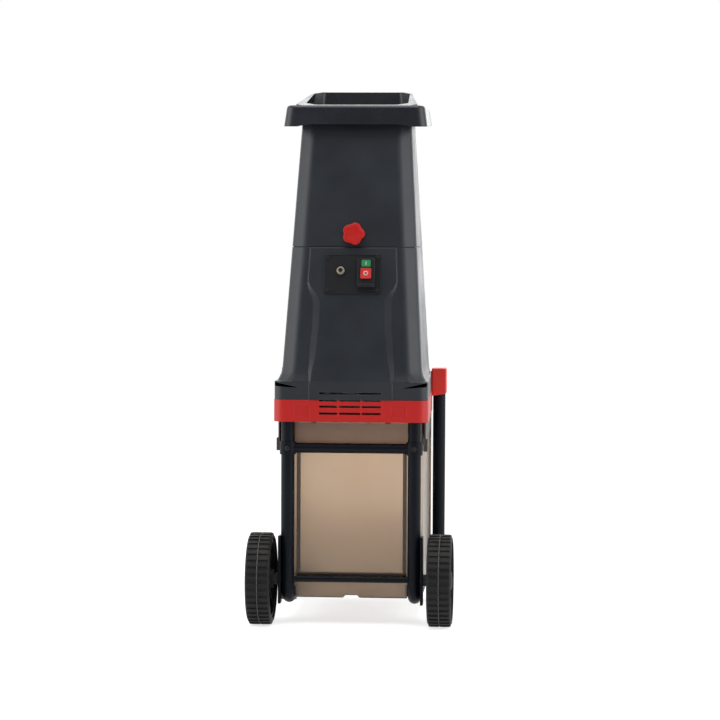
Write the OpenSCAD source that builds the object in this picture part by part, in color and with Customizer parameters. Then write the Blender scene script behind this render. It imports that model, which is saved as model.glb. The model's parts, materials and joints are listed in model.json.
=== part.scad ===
// Roller garden shredder on a wheeled tube frame, with a slide-out catch box.
// X runs to the right, Y from the control side to the far side, Z up from the floor.
// Depths named _y inside the modules are counted from the near face of the base tray.

/* [Base tray] */
// Width of the tray at its near face
base_near_w = 294; // [284:1:300]
// How much narrower the tray is at its far face
base_taper = 21; // [14:1:22]
// Depth of the tray
base_depth = 392; // [388:1:420]
// Height of the tray's underside above the floor
base_z = 388; // [376:1:400]
// Height of the red band
band_h = 41.5; // [38:0.5:50]
// Corner radius of the tray in plan
base_corner_r = 22; // [14:1:30]
// Wall of the tray and housings
wall = 3; // [2.5:0.1:4]
// Thickness of the tray's floor
tray_floor_t = 6; // [5:0.5:8]
// Height of one vent slot
vent_h = 4; // [3:0.5:5]

/* [Housing and hopper] */
// Height of the grey shoulder above the band
shoulder_h = 35.5; // [34:0.5:40]
// How far the shoulder sits inside the band
shoulder_inset = 1; // [0.5:0.5:2]
// Width of the tower where it leaves the shoulder
tower_w = 268; // [262:1:272]
// Depth from the tray's near face to the foot of the tower's near face
tower_near = 5; // [3:1:9]
// Depth from the tray's near face to the foot of the tower's far face
tower_far = 345; // [338:1:352]
// Lean of the tower's near face
near_lean = 12.3; // [11.5:0.1:13]
// Lean of the tower's far face
far_lean = 6.1; // [5:0.1:7]
// Lean of the tower's side faces
side_lean = 3.3; // [3:0.1:3.6]
// Width of the tower's corner chamfers
tower_chamfer = 24; // [18:1:28]
// Height of the seam between housing and hopper above the shoulder
housing_h = 252; // [245:1:261]
// Open joint at the seam
seam_gap = 1; // [0.6:0.1:1.5]
// Height of the raised panel on the near face
relief_h = 4; // [3:0.5:6]
// Height of the hopper from the seam to the collar's top plate
hopper_h = 267; // [258:1:278]
// Height of the collar's skirt
skirt_h = 36; // [30:1:40]
// Width of the skirt at its lower edge
skirt_w = 266; // [260:1:272]
// How far the skirt draws in towards its top edge, each side
skirt_flare = 8.5; // [6:0.5:10]
// Overhang of the skirt beyond the tower's near and far faces
skirt_overhang = 23; // [20:1:26]
// Rise of the collar's far lip above the skirt
lip_h = 34; // [28:1:40]
// Width of the far lip at its top
lip_w = 192; // [180:1:196]

/* [Control panel] */
// Width of the control plate
plate_w = 107; // [102:1:112]
// Height of the control plate
plate_h = 76; // [74:1:80]
// Thickness of the control plate
plate_t = 3; // [2:0.5:4]
// Distance of the control plate's centre below the seam
plate_drop = 52; // [49:1:57]
// Width of the switch housing
switch_w = 33; // [31:1:36]
// Height of the switch housing
switch_h = 56; // [54:1:60]
// Depth of the switch housing in front of the plate
switch_d = 9; // [8:0.5:12]
// Distance of the switch from the plate's centre line
switch_x = 26; // [25:0.5:30]
// Side length of the square stop button
stop_size = 20; // [17:0.5:21]
// Height of the start button
start_h = 13; // [11:0.5:14]
// Travel of the start and stop buttons
button_travel = 3; // [2:0.5:3.5]
// Distance of the reset button from the plate's centre line
reset_x = 22.5; // [20:0.5:28]
// Diameter of the reset button
reset_dia = 8; // [7:0.5:10]

/* [Star knob] */
// Outside diameter of the star knob
knob_dia = 41; // [36:1:46]
// Height of the star knob's axis above the seam
knob_rise = 25; // [23:1:33]
// Diameter of the knob's stud
stud_dia = 8; // [6:0.5:10]

/* [Frame and wheels] */
// Outside diameter of the frame tubes
tube_dia = 25; // [22:0.5:26]
// Wall of the frame tubes
tube_wall = 1.5; // [1.2:0.1:2.5]
// Distance from the tray's near corners to the near legs' centre lines
near_leg_inset = 27; // [26:1:29]
// Gap between the catch box and the far legs
far_leg_gap = 3; // [2.5:0.5:5]
// Depth of the near legs' centre lines
near_leg_y = 25; // [22:1:28]
// Distance from the tray's far face to the far legs' centre lines
far_leg_inset = 24; // [20:1:30]
// Height of the bottom rails' centre lines
rail_z = 50; // [44:1:56]
// Centre line radius of the legs' bottom bends
bend_r = 38; // [34:1:48]
// Diameter of the cross bar
bar_dia = 19; // [16:1:22]
// Distance of the cross bar's axis below the tray
bar_drop = 51; // [38:1:68]
// Diameter of the wheels over the tread
wheel_dia = 175; // [170:1:180]
// Width of the wheels
wheel_w = 46; // [40:1:50]
// Least gap between the catch box and the wheels
wheel_gap = 11; // [10:1:16]
// Diameter of the axle
axle_dia = 12; // [10:0.5:14]
// Number of tread lugs in each row
lug_count = 42; // [36:1:48]

/* [Catch box] */
// Distance of the catch box's sides inside the tray's far corners
box_inset = 0.5; // [0:0.5:5.5]
// Gap between the box's top edge and the tray
box_gap = 6; // [5:0.5:8]
// Wall of the catch box
box_wall = 3; // [2.5:0.1:4]
// Gap between the keel and the bottom rails
keel_gap = 1.5; // [1:0.5:17.5]
// Height of the keel's underside above the floor
keel_z = 50; // [42:1:54]

/* [Drive] */
// Diameter of the cutting roller
roller_dia = 100; // [90:1:102]
// Number of knives on the roller
knife_count = 8; // [6:1:10]
// Height of the roller's axis above the tray's underside
roller_rise = 77; // [75:1:80]
// Diameter of the motor
motor_dia = 120; // [100:1:124]
// Teeth on each pinion
pinion_teeth = 16; // [16:1:18]
// Teeth on each large gear
gear_teeth = 56; // [54:1:58]
// Tooth module of the first gear pair
fine_module = 1.5; // [1.4:0.1:1.6]
// Tooth module of the second gear pair
coarse_module = 2; // [1.9:0.1:2]
// Diameter of the adjuster knob
adjuster_dia = 32; // [26:1:34]

/* [Hidden] */
$fn = 64;

// Shared clearances
run_gap = 0.06;
slip_gap = 0.1;
soft_gap = 0.3;
eps = 0.01;

// Heights and places that follow from the driving sizes
base_far_w = base_near_w - base_taper;
band_top = base_z + band_h;
bar_z = base_z - bar_drop;
shoulder_top = band_top + shoulder_h;
seam_z = shoulder_top + housing_h;
hopper_top_z = seam_z + hopper_h;
plate_z = seam_z - plate_drop;
knob_z = seam_z + knob_rise;
collar_top = hopper_top_z + wall;
tube_r = tube_dia / 2;
wheel_r = wheel_dia / 2;
box_w = base_far_w - 2 * box_inset;
near_leg_x = base_near_w / 2 - near_leg_inset;
near_leg_out = near_leg_x + tube_r;
far_leg_x = box_w / 2 + far_leg_gap + tube_r;
far_leg_y = base_depth - far_leg_inset;
axle_plate_t = 5;
axle_collar_w = 9.5;
wheel_in = max(box_w / 2 + wheel_gap, near_leg_out + axle_plate_t + axle_collar_w);
wheel_out = wheel_in + wheel_w;
keel_w = 2 * (near_leg_x - tube_r - keel_gap);
base_near_y = -(base_depth + near_leg_y - wheel_r) / 2;
tray_floor_top = base_z + tray_floor_t;

module placed() { translate([0, base_near_y, 0]) children(); }
module both() { for (side = [-1, 1]) scale([side, 1, 1]) children(); }
module sided(side) { if (side < 0) mirror([1, 0, 0]) children(); else children(); }

// A round bar along X, from x0 to x1
module bar_x(x0, x1, r, y, z) translate([x0, y, z]) rotate([0, 90, 0]) cylinder(r = r, h = x1 - x0);
// A round bar along Y, from y0 to y1
module bar_y(y0, y1, r, x, z) translate([x, y0, z]) rotate([-90, 0, 0]) cylinder(r = r, h = y1 - y0);
// A block between two corners
module block(low, high) translate(low) cube(high - low);

// Plan outline of the tray, drawn in by inset
function base_half(y) = base_near_w / 2 - (base_near_w - base_far_w) / 2 * y / base_depth;
module base_outline(inset = 0) hull() for (side = [-1, 1], y = [base_corner_r, base_depth - base_corner_r])
    translate([side * (base_half(y) - base_corner_r), y]) circle(r = base_corner_r - inset, $fn = 48);

// The tower's flat faces, as depth or half width at a height
function near_y(z) = tower_near + (z - shoulder_top) * tan(near_lean);
function far_y(z) = tower_far - (z - shoulder_top) * tan(far_lean);
function side_x(z) = tower_w / 2 - (z - shoulder_top) * tan(side_lean);

// Chamfered rectangle at a height, counter-clockwise from above
function chamfered(half, y0, y1, c, z) = [[c - half, y0, z], [half - c, y0, z], [half, y0 + c, z],
    [half, y1 - c, z], [half - c, y1, z], [c - half, y1, z], [-half, y1 - c, z], [-half, y0 + c, z]];
function tower_ring(z, inset) = chamfered(side_x(z) - inset, near_y(z) + inset / cos(near_lean),
    far_y(z) - inset, tower_chamfer - inset * (2 - sqrt(2)), z);

// A solid between two rings of as many points
module loft(low, high) {
    n = len(low);
    polyhedron(points = concat(low, high), faces = concat([[for (i = [0:n - 1]) i]],
        [[for (i = [0:n - 1]) 2 * n - 1 - i]],
        [for (i = [0:n - 1], tri = [[i, i + n, (i + 1) % n], [i + n, (i + 1) % n + n, (i + 1) % n]]) tri]));
}
module tower_block(z0, z1, inset = 0) loft(tower_ring(z0, inset), tower_ring(z1, inset));

// Puts its children on the near face: X stays, Y runs up the face and Z points out of it
module on_near_face(z) translate([0, near_y(z), z]) rotate([90 - near_lean, 0, 0]) children();
// The same on the far face
module on_far_face(z) translate([0, far_y(z), z]) rotate([far_lean - 90, 0, 0]) children();

// Rectangle with round corners, centred
module pad(w, h, r) {
    square([w - 2 * r, h], center = true);
    square([w, h - 2 * r], center = true);
    for (sx = [-1, 1], sy = [-1, 1]) translate([sx * (w / 2 - r), sy * (h / 2 - r)]) circle(r = r, $fn = 24);
}

// Base tray

vent_rows = [base_z + 16, base_z + 29];
edge_vent_h = 2.5;
vent_cols = [[-59, -25], [-21, 19], [22, 57]];
outlet_w = 116;
outlet_y = [196, 294];
leg_socket_wall = 4;
leg_seat_z = band_top - 5;
band_recess = [28, 22, 2];
band_recess_x = 91.5;
housing_screw_r = 2.5;
screw_boss_r = 7;
screw_boss_x = 70;
screw_boss_y = shoulder_inset + wall + screw_boss_r - 0.5;
housing_screw_places = [for (x = [-1, 1] * screw_boss_x, y = [screw_boss_y, base_depth - screw_boss_y]) [x, y]];

module base_tray() color("firebrick") placed() difference() {
    union() {
        difference() {
            translate([0, 0, base_z]) linear_extrude(band_h) base_outline();
            translate([0, 0, tray_floor_top]) linear_extrude(band_h) base_outline(wall);
        }
        both() translate([near_leg_x, near_leg_y, base_z])
            cylinder(r = tube_r + leg_socket_wall, h = leg_seat_z - base_z + leg_socket_wall);
    }
    both() translate([near_leg_x, near_leg_y, base_z - eps])
        cylinder(r = tube_r + slip_gap, h = leg_seat_z - base_z + eps);
    block([-outlet_w / 2, outlet_y[0], base_z - 1], [outlet_w / 2, outlet_y[1], tray_floor_top + 1]);
    for (z = vent_rows, col = vent_cols)
        block([col[0], -1, z - vent_h / 2], [col[1], wall + 1, z + vent_h / 2]);
    for (col = vent_cols) block([col[0], -1, band_top - edge_vent_h], [col[1], wall + 1, band_top + 1]);
    both() translate([band_recess_x, 0, base_z + band_h / 2])
        cube([band_recess.x, band_recess.z, band_recess.y], center = true);
    for (p = housing_screw_places) translate([p.x, p.y, base_z - 1])
        cylinder(r = housing_screw_r + slip_gap, h = tray_floor_t + 2);
}

// Lower housing

groove_z = base_z + 56;
groove_w = 118;
groove_depth = 1.5;
// Foot and brow of the raised panel's sloped border: half width and distance up the near face
relief_rise = (seam_z - seam_gap / 2 - shoulder_top) / cos(near_lean) - relief_h * tan(near_lean);
relief_foot = [[83, 0], [79, 60], [75, 110], [75, 150], [87, 188], [84, relief_rise]];
relief_brow = [[78, 0], [71, 60], [62, 110], [61, 152], [83, 196], [81, relief_rise]];
relief_root = 2;
apron_h = 1.5;
knuckle_r = 6;
pin_r = 2.5;
pin_reach = 80;
hinge_y = far_y(seam_z) + knuckle_r + 1;
housing_knuckles = [[-62, -40], [40, 62]];
hopper_knuckles = [[-39.5, -18], [18, 39.5]];
lock_y = near_y(knob_z) + 15;
lock_t = 3;
lock_half = 16;
lock_slot_gap = 2;
lock_rise = 12;
lock_foot_z = seam_z - 25;
adjuster_y = 244;
adjuster_z = band_top + shoulder_h / 2;
adjuster_r = 6;
switch_cut = [switch_w - 6, switch_h - 8];
reset_bush_r = 5.5;
side_cut = 30;

// A closed ring at a height over the near face, from one side's points and their mirror image
function mirrored_ring(side, h) = concat([for (p = side) [p.x, p.y, h]],
    [for (i = [len(side) - 1:-1:0]) [-side[i].x, side[i].y, h]]);
// Raised panel with a sloped border, its root sunk into the wall
module relief() let (sunk = [for (i = [0:len(relief_foot) - 1])
        relief_foot[i] + (relief_foot[i] - relief_brow[i]) * relief_root / relief_h])
    loft(mirrored_ring(sunk, -relief_root), mirrored_ring(relief_brow, relief_h));
// The panel's apron, which carries it down over the shoulder to the band
module apron() let (foot = relief_foot[0].x, brow = relief_brow[0].x)
    translate([0, 0, band_top]) linear_extrude(shoulder_h)
    polygon([[-foot, shoulder_inset + wall], [-foot, shoulder_inset], [-brow, shoulder_inset - apron_h],
        [brow, shoulder_inset - apron_h], [foot, shoulder_inset], [foot, shoulder_inset + wall]]);
// A hinge knuckle on a tab that reaches back to the far wall
module knuckle(span, z0, z1) {
    bar_x(span[0], span[1], knuckle_r, hinge_y, seam_z);
    block([span[0], far_y(seam_z) - wall, z0], [span[1], hinge_y, z1]);
}
module lower_housing() color([0.17, 0.19, 0.21]) placed() difference() {
    union() {
        difference() {
            union() {
                translate([0, 0, band_top]) linear_extrude(shoulder_h) base_outline(shoulder_inset);
                tower_block(shoulder_top - eps, seam_z - seam_gap / 2);
                on_near_face(shoulder_top) relief();
                apron();
                for (span = housing_knuckles) knuckle(span, seam_z - 22, seam_z);
            }
            difference() {
                translate([0, 0, band_top - 1]) linear_extrude(shoulder_h - wall + 1)
                    base_outline(shoulder_inset + wall);
                for (p = housing_screw_places) translate([p.x, p.y, base_z])
                    cylinder(r = screw_boss_r, h = shoulder_top - base_z);
            }
            tower_block(band_top, seam_z, wall);
        }
        for (p = housing_screw_places) translate([p.x, p.y, tray_floor_top])
            cylinder(r = screw_boss_r, h = shoulder_top - wall / 2 - tray_floor_top);
        block([-lock_half, near_y(lock_foot_z) + wall, lock_foot_z], [lock_half, lock_y, lock_foot_z + lock_block_h]);
    }
    block([-groove_w / 2, -1, groove_z - 1.5], [groove_w / 2, shoulder_inset - apron_h + groove_depth, groove_z + 1.5]);
    for (p = housing_screw_places) translate([p.x, p.y, base_z])
        cylinder(r = housing_screw_r, h = tray_floor_t + screw_reach + 4);
    on_near_face(plate_z) {
        translate([switch_x, 1, -wall - 2]) linear_extrude(relief_h + wall + 4) square(switch_cut, center = true);
        translate([-reset_x, 6, -wall - 2]) cylinder(r = reset_bush_r + slip_gap, h = relief_h + wall + 4);
        for (sx = [-1, 1], sy = [-1, 1]) translate([sx * (plate_w / 2 - 6), sy * (plate_h / 2 - 6), relief_h - 5])
            cylinder(r = plate_screw_r, h = 6);
    }
    bar_x(-pin_reach, pin_reach, pin_r + slip_gap, hinge_y, seam_z);
    for (span = hopper_knuckles) block([span[0] - 0.5, far_y(seam_z) - eps, seam_z - knuckle_r - 1],
        [span[1] + 0.5, hinge_y + 20, seam_z + 20]);
    bar_x(-base_near_w / 2, -base_far_w / 2 + side_cut, adjuster_r + slip_gap, adjuster_y, adjuster_z);
}

// Hopper, its collar and its hinge

boss_r = 13;
lock_lift_gap = 4;
magnet_x = [-34, -20];
magnet_z = seam_z + 6;
boss_face_y = near_y(knob_z) - 6;
boss_end_y = lock_y - lock_lift_gap;
collar_wall = wall;
skirt_z = collar_top - skirt_h;
skirt_corner = 20;
mouth_inset = wall;
collar_near = near_y(skirt_z) - skirt_overhang;
collar_far = far_y(skirt_z) + skirt_overhang;
lip_top = collar_top + lip_h;
lip_lean = 8;

module hopper() color([0.17, 0.19, 0.21]) placed() difference() {
    union() {
        difference() {
            union() {
                tower_block(seam_z + seam_gap / 2, hopper_top_z);
                for (span = hopper_knuckles) knuckle(span, seam_z + seam_gap / 2, seam_z + 22);
            }
            tower_block(seam_z, hopper_top_z + 1, wall);
        }
        bar_y(boss_face_y, boss_end_y, boss_r, 0, knob_z);
        block([magnet_x[0] - 2, near_y(magnet_z) + wall / 2, magnet_z],
            [magnet_x[1] + 2, near_y(magnet_z) + wall + 12, magnet_z + 8]);
    }
    bar_y(boss_face_y - 1, boss_end_y + 1, stud_dia / 2 + run_gap, 0, knob_z);
    bar_x(-pin_reach, pin_reach, pin_r + run_gap, hinge_y, seam_z);
    for (span = housing_knuckles) block([span[0] - 0.5, far_y(seam_z) - eps, seam_z - 20],
        [span[1] + 0.5, hinge_y + 20, seam_z + knuckle_r + 1]);
}
// Rounded slab for the skirt, drawn in by inset
module skirt_slab(z, inset) translate([0, 0, z]) linear_extrude(eps) hull()
    for (side = [-1, 1], y = [collar_near + skirt_corner, collar_far - skirt_corner])
        translate([side * (skirt_w / 2 - skirt_corner), y]) circle(r = skirt_corner - inset, $fn = 40);
module skirt(z0, z1, inset) hull() {
    skirt_slab(z0, inset);
    skirt_slab(z1 - eps, inset + skirt_flare);
}
module hopper_collar() color([0.15, 0.165, 0.19]) placed() difference() {
    union() {
        difference() {
            skirt(skirt_z, collar_top, 0);
            skirt(skirt_z - eps, hopper_top_z, collar_wall);
        }
        difference() {
            loft(chamfered(skirt_w / 2 - skirt_flare - 3, collar_near + skirt_flare + 3,
                    collar_far - skirt_flare - 1, tower_chamfer, collar_top - eps),
                chamfered(lip_w / 2, collar_near + skirt_flare + 20, collar_far - lip_lean - skirt_flare,
                    tower_chamfer / 2, lip_top));
            translate([0, collar_near + skirt_flare + 12, collar_top])
                rotate([atan(lip_h / (collar_far - collar_near - 3 * skirt_flare - lip_lean - 12)), 0, 0])
                translate([-skirt_w, -skirt_w, 0]) cube([2 * skirt_w, 3 * skirt_w, lip_h * 4]);
        }
    }
    loft(tower_ring(hopper_top_z - 1, mouth_inset),
        chamfered(lip_w / 2 - collar_wall, collar_near + skirt_flare + 16,
            collar_far - lip_lean - skirt_flare - collar_wall, tower_chamfer / 2, lip_top + 1));
}
module hinge_pin() color("silver") placed() bar_x(housing_knuckles[0][0], housing_knuckles[1][1], pin_r, hinge_y, seam_z);
module lock_plate() color("silver") placed() difference() {
    block([-lock_half, lock_y, lock_foot_z], [lock_half, lock_y + lock_t, knob_z + lock_rise]);
    block([-stud_dia / 2 - lock_slot_gap, lock_y - 1, knob_z - stud_dia / 2 - lock_slot_gap],
        [stud_dia / 2 + lock_slot_gap, lock_y + lock_t + 1, knob_z + lock_half]);
}

// Star knob

knob_h = 15;
stud_grip = 6;
lobe_count = 5;
lobe_r = 7.5;
module star_knob() color("firebrick") placed() difference() {
    translate([0, boss_face_y - 0.5, knob_z]) rotate([90, 0, 0]) {
        cylinder(r = knob_dia / 2 - lobe_r + 1, h = knob_h);
        for (i = [0:lobe_count - 1]) rotate(6 + i * 360 / lobe_count)
            translate([knob_dia / 2 - lobe_r, 0, 2]) cylinder(r = lobe_r, h = knob_h - 3);
    }
    bar_y(boss_face_y - stud_grip, boss_face_y + 1, stud_dia / 2 + run_gap, 0, knob_z);
}
module knob_stud() color("silver") placed() bar_y(boss_face_y - stud_grip, lock_y + lock_t + 3, stud_dia / 2, 0, knob_z);

// Control plate, switch and reset button

plate_screw_r = 1.6;
plate_screw_head = 3.4;
switch_flange = 3;
button_gap = 0.4;
start_size = [17, start_h];
start_place = [switch_x, switch_h / 2 - 9.5];
stop_place = [switch_x, -1];
well_depth = 6;
button_proud = 2.5;
stop_proud = 5;
reset_travel = 3;
reset_nut_r = 7.5;
reset_nut_h = 3.5;
reset_bush_h = 7;
reset_place = [-reset_x, 6];
plate_front = relief_h + plate_t;
switch_front = plate_front + switch_d;

module on_plate() placed() on_near_face(plate_z) children();

module control_plate() color([0.13, 0.13, 0.14]) on_plate() difference() {
    translate([0, 0, relief_h]) linear_extrude(plate_t) pad(plate_w, plate_h, 4);
    translate([switch_x, 1, 0]) linear_extrude(plate_front + 1) square(switch_cut, center = true);
    translate([reset_place.x, reset_place.y, 0]) cylinder(r = reset_bush_r + slip_gap, h = plate_front + 1);
    for (sx = [-1, 1], sy = [-1, 1]) translate([sx * (plate_w / 2 - 6), sy * (plate_h / 2 - 6), 0])
        cylinder(r = plate_screw_r + slip_gap, h = plate_front + 1);
}
module plate_screws() color("dimgray") on_plate() for (sx = [-1, 1], sy = [-1, 1])
    translate([sx * (plate_w / 2 - 6), sy * (plate_h / 2 - 6), 0]) difference() {
        union() {
            translate([0, 0, plate_front]) cylinder(r = plate_screw_head, h = 1.8);
            translate([0, 0, relief_h - 4.5]) cylinder(r = plate_screw_r, h = plate_t + 4.5);
        }
        translate([0, 0, plate_front + 1.4]) for (a = [0, 90]) rotate(a) cube([4, 1, 1.4], center = true);
    }
module switch_housing() color([0.1, 0.1, 0.11]) on_plate() difference() {
    union() {
        translate([switch_x, 1, plate_front]) linear_extrude(switch_d) pad(switch_w, switch_h, 3);
        translate([switch_x, 1, -30]) linear_extrude(30 + plate_front)
            square(switch_cut - [1, 1] * 2 * slip_gap, center = true);
        translate([switch_x, -switch_h / 2 + 4, switch_front - 1]) linear_extrude(4) pad(switch_w - 6, 6, 2);
    }
    translate([start_place.x, start_place.y, switch_front - well_depth]) linear_extrude(well_depth + 1)
        square(start_size + [1, 1] * 2 * button_gap, center = true);
    translate([stop_place.x, stop_place.y, switch_front - well_depth]) linear_extrude(well_depth + 1)
        square([1, 1] * (stop_size + 2 * button_gap), center = true);
}
module start_button() color("seagreen") on_plate()
    translate([start_place.x, start_place.y, switch_front - well_depth + button_travel + soft_gap])
    linear_extrude(well_depth - button_travel - soft_gap + button_proud) pad(start_size.x, start_size.y, 1.5);
module stop_button() color("crimson") on_plate()
    translate([stop_place.x, stop_place.y, switch_front - well_depth + button_travel + soft_gap])
    linear_extrude(well_depth - button_travel - soft_gap + stop_proud) pad(stop_size, stop_size, 2);
module reset_nut() color("silver") on_plate() translate([reset_place.x, reset_place.y, 0]) difference() {
    union() {
        translate([0, 0, plate_front]) cylinder(r = reset_nut_r, h = reset_nut_h);
        translate([0, 0, -20]) cylinder(r = reset_bush_r, h = 20 + plate_front + reset_bush_h);
    }
    translate([0, 0, -12]) cylinder(r = reset_dia / 2 + run_gap, h = 60);
}
module reset_button() color([0.12, 0.12, 0.13]) on_plate()
    translate([reset_place.x, reset_place.y, -12 + reset_travel + soft_gap])
    cylinder(r = reset_dia / 2, h = 12 + plate_front + reset_bush_h + 0.8);

// Frame tubes, sockets, feet and fasteners

rail_end_y = far_leg_y + tube_r;
leg_top_z = leg_seat_z - 1;
axle_z = wheel_r;
bolt_r = 4;
rail_spacer_r = 9;
bolt_tail = 8;
bolt_head_r = 6.5;
bolt_head_h = 5;
socket_low = [33, 27];
socket_high = 7;
socket_out = far_leg_x + tube_r + 2;
socket_y = [far_leg_y - tube_r - 5, base_depth];
foot_wall = 3;
foot_h = 24;
foot_floor = 6;
plug_flange = 2.5;
plug_depth = 3;

module tube_ring() difference() {
    circle(r = tube_r);
    circle(r = tube_r - tube_wall);
}
module bar_screw_hole() bar_y(0, near_leg_y, bar_screw_r + slip_gap, 0, bar_z);
module near_leg(side) color([0.11, 0.125, 0.145]) placed() sided(side) difference() {
    translate([near_leg_x, 0, 0]) {
        translate([0, near_leg_y, rail_z + bend_r]) linear_extrude(leg_top_z - rail_z - bend_r) tube_ring();
        translate([0, near_leg_y + bend_r, rail_z + bend_r]) rotate([90, 0, 90]) rotate(180)
            rotate_extrude(angle = 90) translate([bend_r, 0]) tube_ring();
        translate([0, near_leg_y + bend_r, rail_z]) rotate([-90, 0, 0])
            linear_extrude(rail_end_y - near_leg_y - bend_r) tube_ring();
    }
    bar_x(0, wheel_in, axle_dia / 2 + slip_gap, near_leg_y, axle_z);
    bar_x(near_leg_x, wheel_in, bolt_r + slip_gap, far_leg_y, rail_z);
    translate([near_leg_x, 0, 0]) bar_screw_hole();
}
module near_leg_left() near_leg(-1);
module near_leg_right() near_leg(1);

module far_leg(side) color([0.11, 0.125, 0.145]) placed() sided(side) difference() {
    translate([far_leg_x, far_leg_y, foot_floor]) linear_extrude(shoulder_top - foot_floor) tube_ring();
    bar_x(0, wheel_out, bolt_r + slip_gap, far_leg_y, rail_z);
}
module far_leg_left() far_leg(-1);
module far_leg_right() far_leg(1);

// A red cap on the far leg's top, seated against the side of tray and shoulder
module leg_socket(side) color("firebrick") placed() sided(side) difference() {
    translate([0, socket_y[1], 0]) rotate([90, 0, 0]) linear_extrude(socket_y[1] - socket_y[0])
        polygon([[base_far_w / 2 - 5, base_z + socket_low[1]], [socket_out, base_z + socket_low[0]],
            [socket_out, shoulder_top + socket_high], [base_far_w / 2 - 5, shoulder_top + socket_high]]);
    translate([0, 0, base_z]) linear_extrude(band_h) base_outline();
    translate([0, 0, band_top - eps]) linear_extrude(shoulder_h + 2 * eps) base_outline(shoulder_inset);
    translate([0, 0, shoulder_top]) linear_extrude(shoulder_h) square([base_far_w, 2 * base_depth], center = true);
    translate([far_leg_x, far_leg_y, 0]) cylinder(r = tube_r + slip_gap, h = shoulder_top + 1);
}
module leg_socket_left() leg_socket(-1);
module leg_socket_right() leg_socket(1);

module foot(side) color([0.08, 0.08, 0.08]) placed() sided(side) translate([far_leg_x, far_leg_y, 0]) difference() {
    cylinder(r = tube_r + foot_wall, h = foot_h);
    translate([0, 0, foot_floor]) cylinder(r = tube_r + slip_gap, h = foot_h);
}
module foot_left() foot(-1);
module foot_right() foot(1);

module rail_plugs() color([0.08, 0.08, 0.08]) placed() both() {
    bar_y(rail_end_y, rail_end_y + plug_flange, tube_r, near_leg_x, rail_z);
    bar_y(rail_end_y - plug_depth, rail_end_y, tube_r - tube_wall - slip_gap, near_leg_x, rail_z);
}
module rail_spacers() color([0.1, 0.1, 0.1]) placed() both() difference() {
    bar_x(near_leg_out, far_leg_x - tube_r, rail_spacer_r, far_leg_y, rail_z);
    bar_x(0, wheel_out, bolt_r + slip_gap, far_leg_y, rail_z);
}
module frame_bolts() color("silver") placed() both() {
    bar_x(near_leg_out - bolt_tail, far_leg_x + tube_r, bolt_r, far_leg_y, rail_z);
    translate([far_leg_x + tube_r, far_leg_y, rail_z]) rotate([0, 90, 0])
        cylinder(r = bolt_head_r, h = bolt_head_h, $fn = 6);
}

// Cross bar with a saddle lapped over each near leg

saddle_t = 3;
saddle_h = 24;
bar_screw_r = 2.5;
bar_y0 = near_leg_y - tube_r - saddle_t;
module cross_bar() color([0.11, 0.125, 0.145]) placed() difference() {
    union() {
        bar_x(-near_leg_x, near_leg_x, bar_dia / 2, near_leg_y, bar_z);
        both() translate([near_leg_x, near_leg_y, bar_z - saddle_h / 2]) cylinder(r = tube_r + saddle_t, h = saddle_h);
    }
    both() translate([near_leg_x, near_leg_y, 0]) cylinder(r = tube_r + slip_gap, h = base_z);
    both() translate([near_leg_x, 0, 0]) bar_screw_hole();
}
module bar_screws() color("silver") placed() both() {
    bar_y(bar_y0, near_leg_y - 4, bar_screw_r, near_leg_x, bar_z);
    bar_y(bar_y0 - 2.2, bar_y0, bar_screw_r * 1.8, near_leg_x, bar_z);
}

// Axle, wheels and what holds them

axle_plate_z = [41, 170];
axle_plate_w = 26;
axle_collar_r = 11;
hub_r = 18;
hub_end = 6;
nut_t = 2;
nut_r = 10;
rim_r = wheel_r - 11.5;
rim_t = 6;
web_t = 6;
rib_count = 8;
lug_depth = 4;
seam_w = 2;
seam_drop = 1;

module axle() color("silver") placed() bar_x(-wheel_out + 2, wheel_out - 2, axle_dia / 2, near_leg_y, axle_z);
module axle_plate(side) color([0.1, 0.1, 0.11]) placed() sided(side) difference() {
    block([near_leg_out, near_leg_y - axle_plate_w / 2, axle_plate_z[0]],
        [near_leg_out + axle_plate_t, near_leg_y + axle_plate_w / 2, axle_plate_z[1]]);
    bar_x(0, wheel_in, axle_dia / 2 + slip_gap, near_leg_y, axle_z);
}
module axle_plate_left() axle_plate(-1);
module axle_plate_right() axle_plate(1);
module axle_collars() color([0.12, 0.12, 0.12]) placed() both() difference() {
    bar_x(near_leg_out + axle_plate_t, wheel_in - soft_gap, axle_collar_r, near_leg_y, axle_z);
    bar_x(0, wheel_out, axle_dia / 2 + slip_gap, near_leg_y, axle_z);
}
module push_nuts() color("silver") placed() both() difference() {
    bar_x(wheel_out - hub_end + soft_gap, wheel_out - hub_end + soft_gap + nut_t, nut_r, near_leg_y, axle_z);
    bar_x(0, wheel_out, axle_dia / 2 + slip_gap, near_leg_y, axle_z);
}
// Wheel body turned about its axle, from the inner face outwards
module wheel(side) color([0.13, 0.13, 0.135]) placed() sided(side)
    translate([wheel_in, near_leg_y, axle_z]) rotate([0, 90, 0]) {
        rotate_extrude($fn = 96) {
            translate([axle_dia / 2 + run_gap, 0]) square([hub_r - axle_dia / 2 - run_gap, wheel_w - hub_end]);
            translate([hub_r - 1, wheel_w / 2 - web_t / 2]) square([rim_r - hub_r, web_t]);
            translate([rim_r - rim_t, 3]) square([rim_t, wheel_w - 6]);
        }
        for (i = [0:rib_count - 1]) rotate(i * 360 / rib_count)
            translate([hub_r - 1, -2, 8]) cube([rim_r - rim_t - hub_r + 2, 4, wheel_w - 16]);
    }
module wheel_left() wheel(-1);
module wheel_right() wheel(1);

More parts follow.
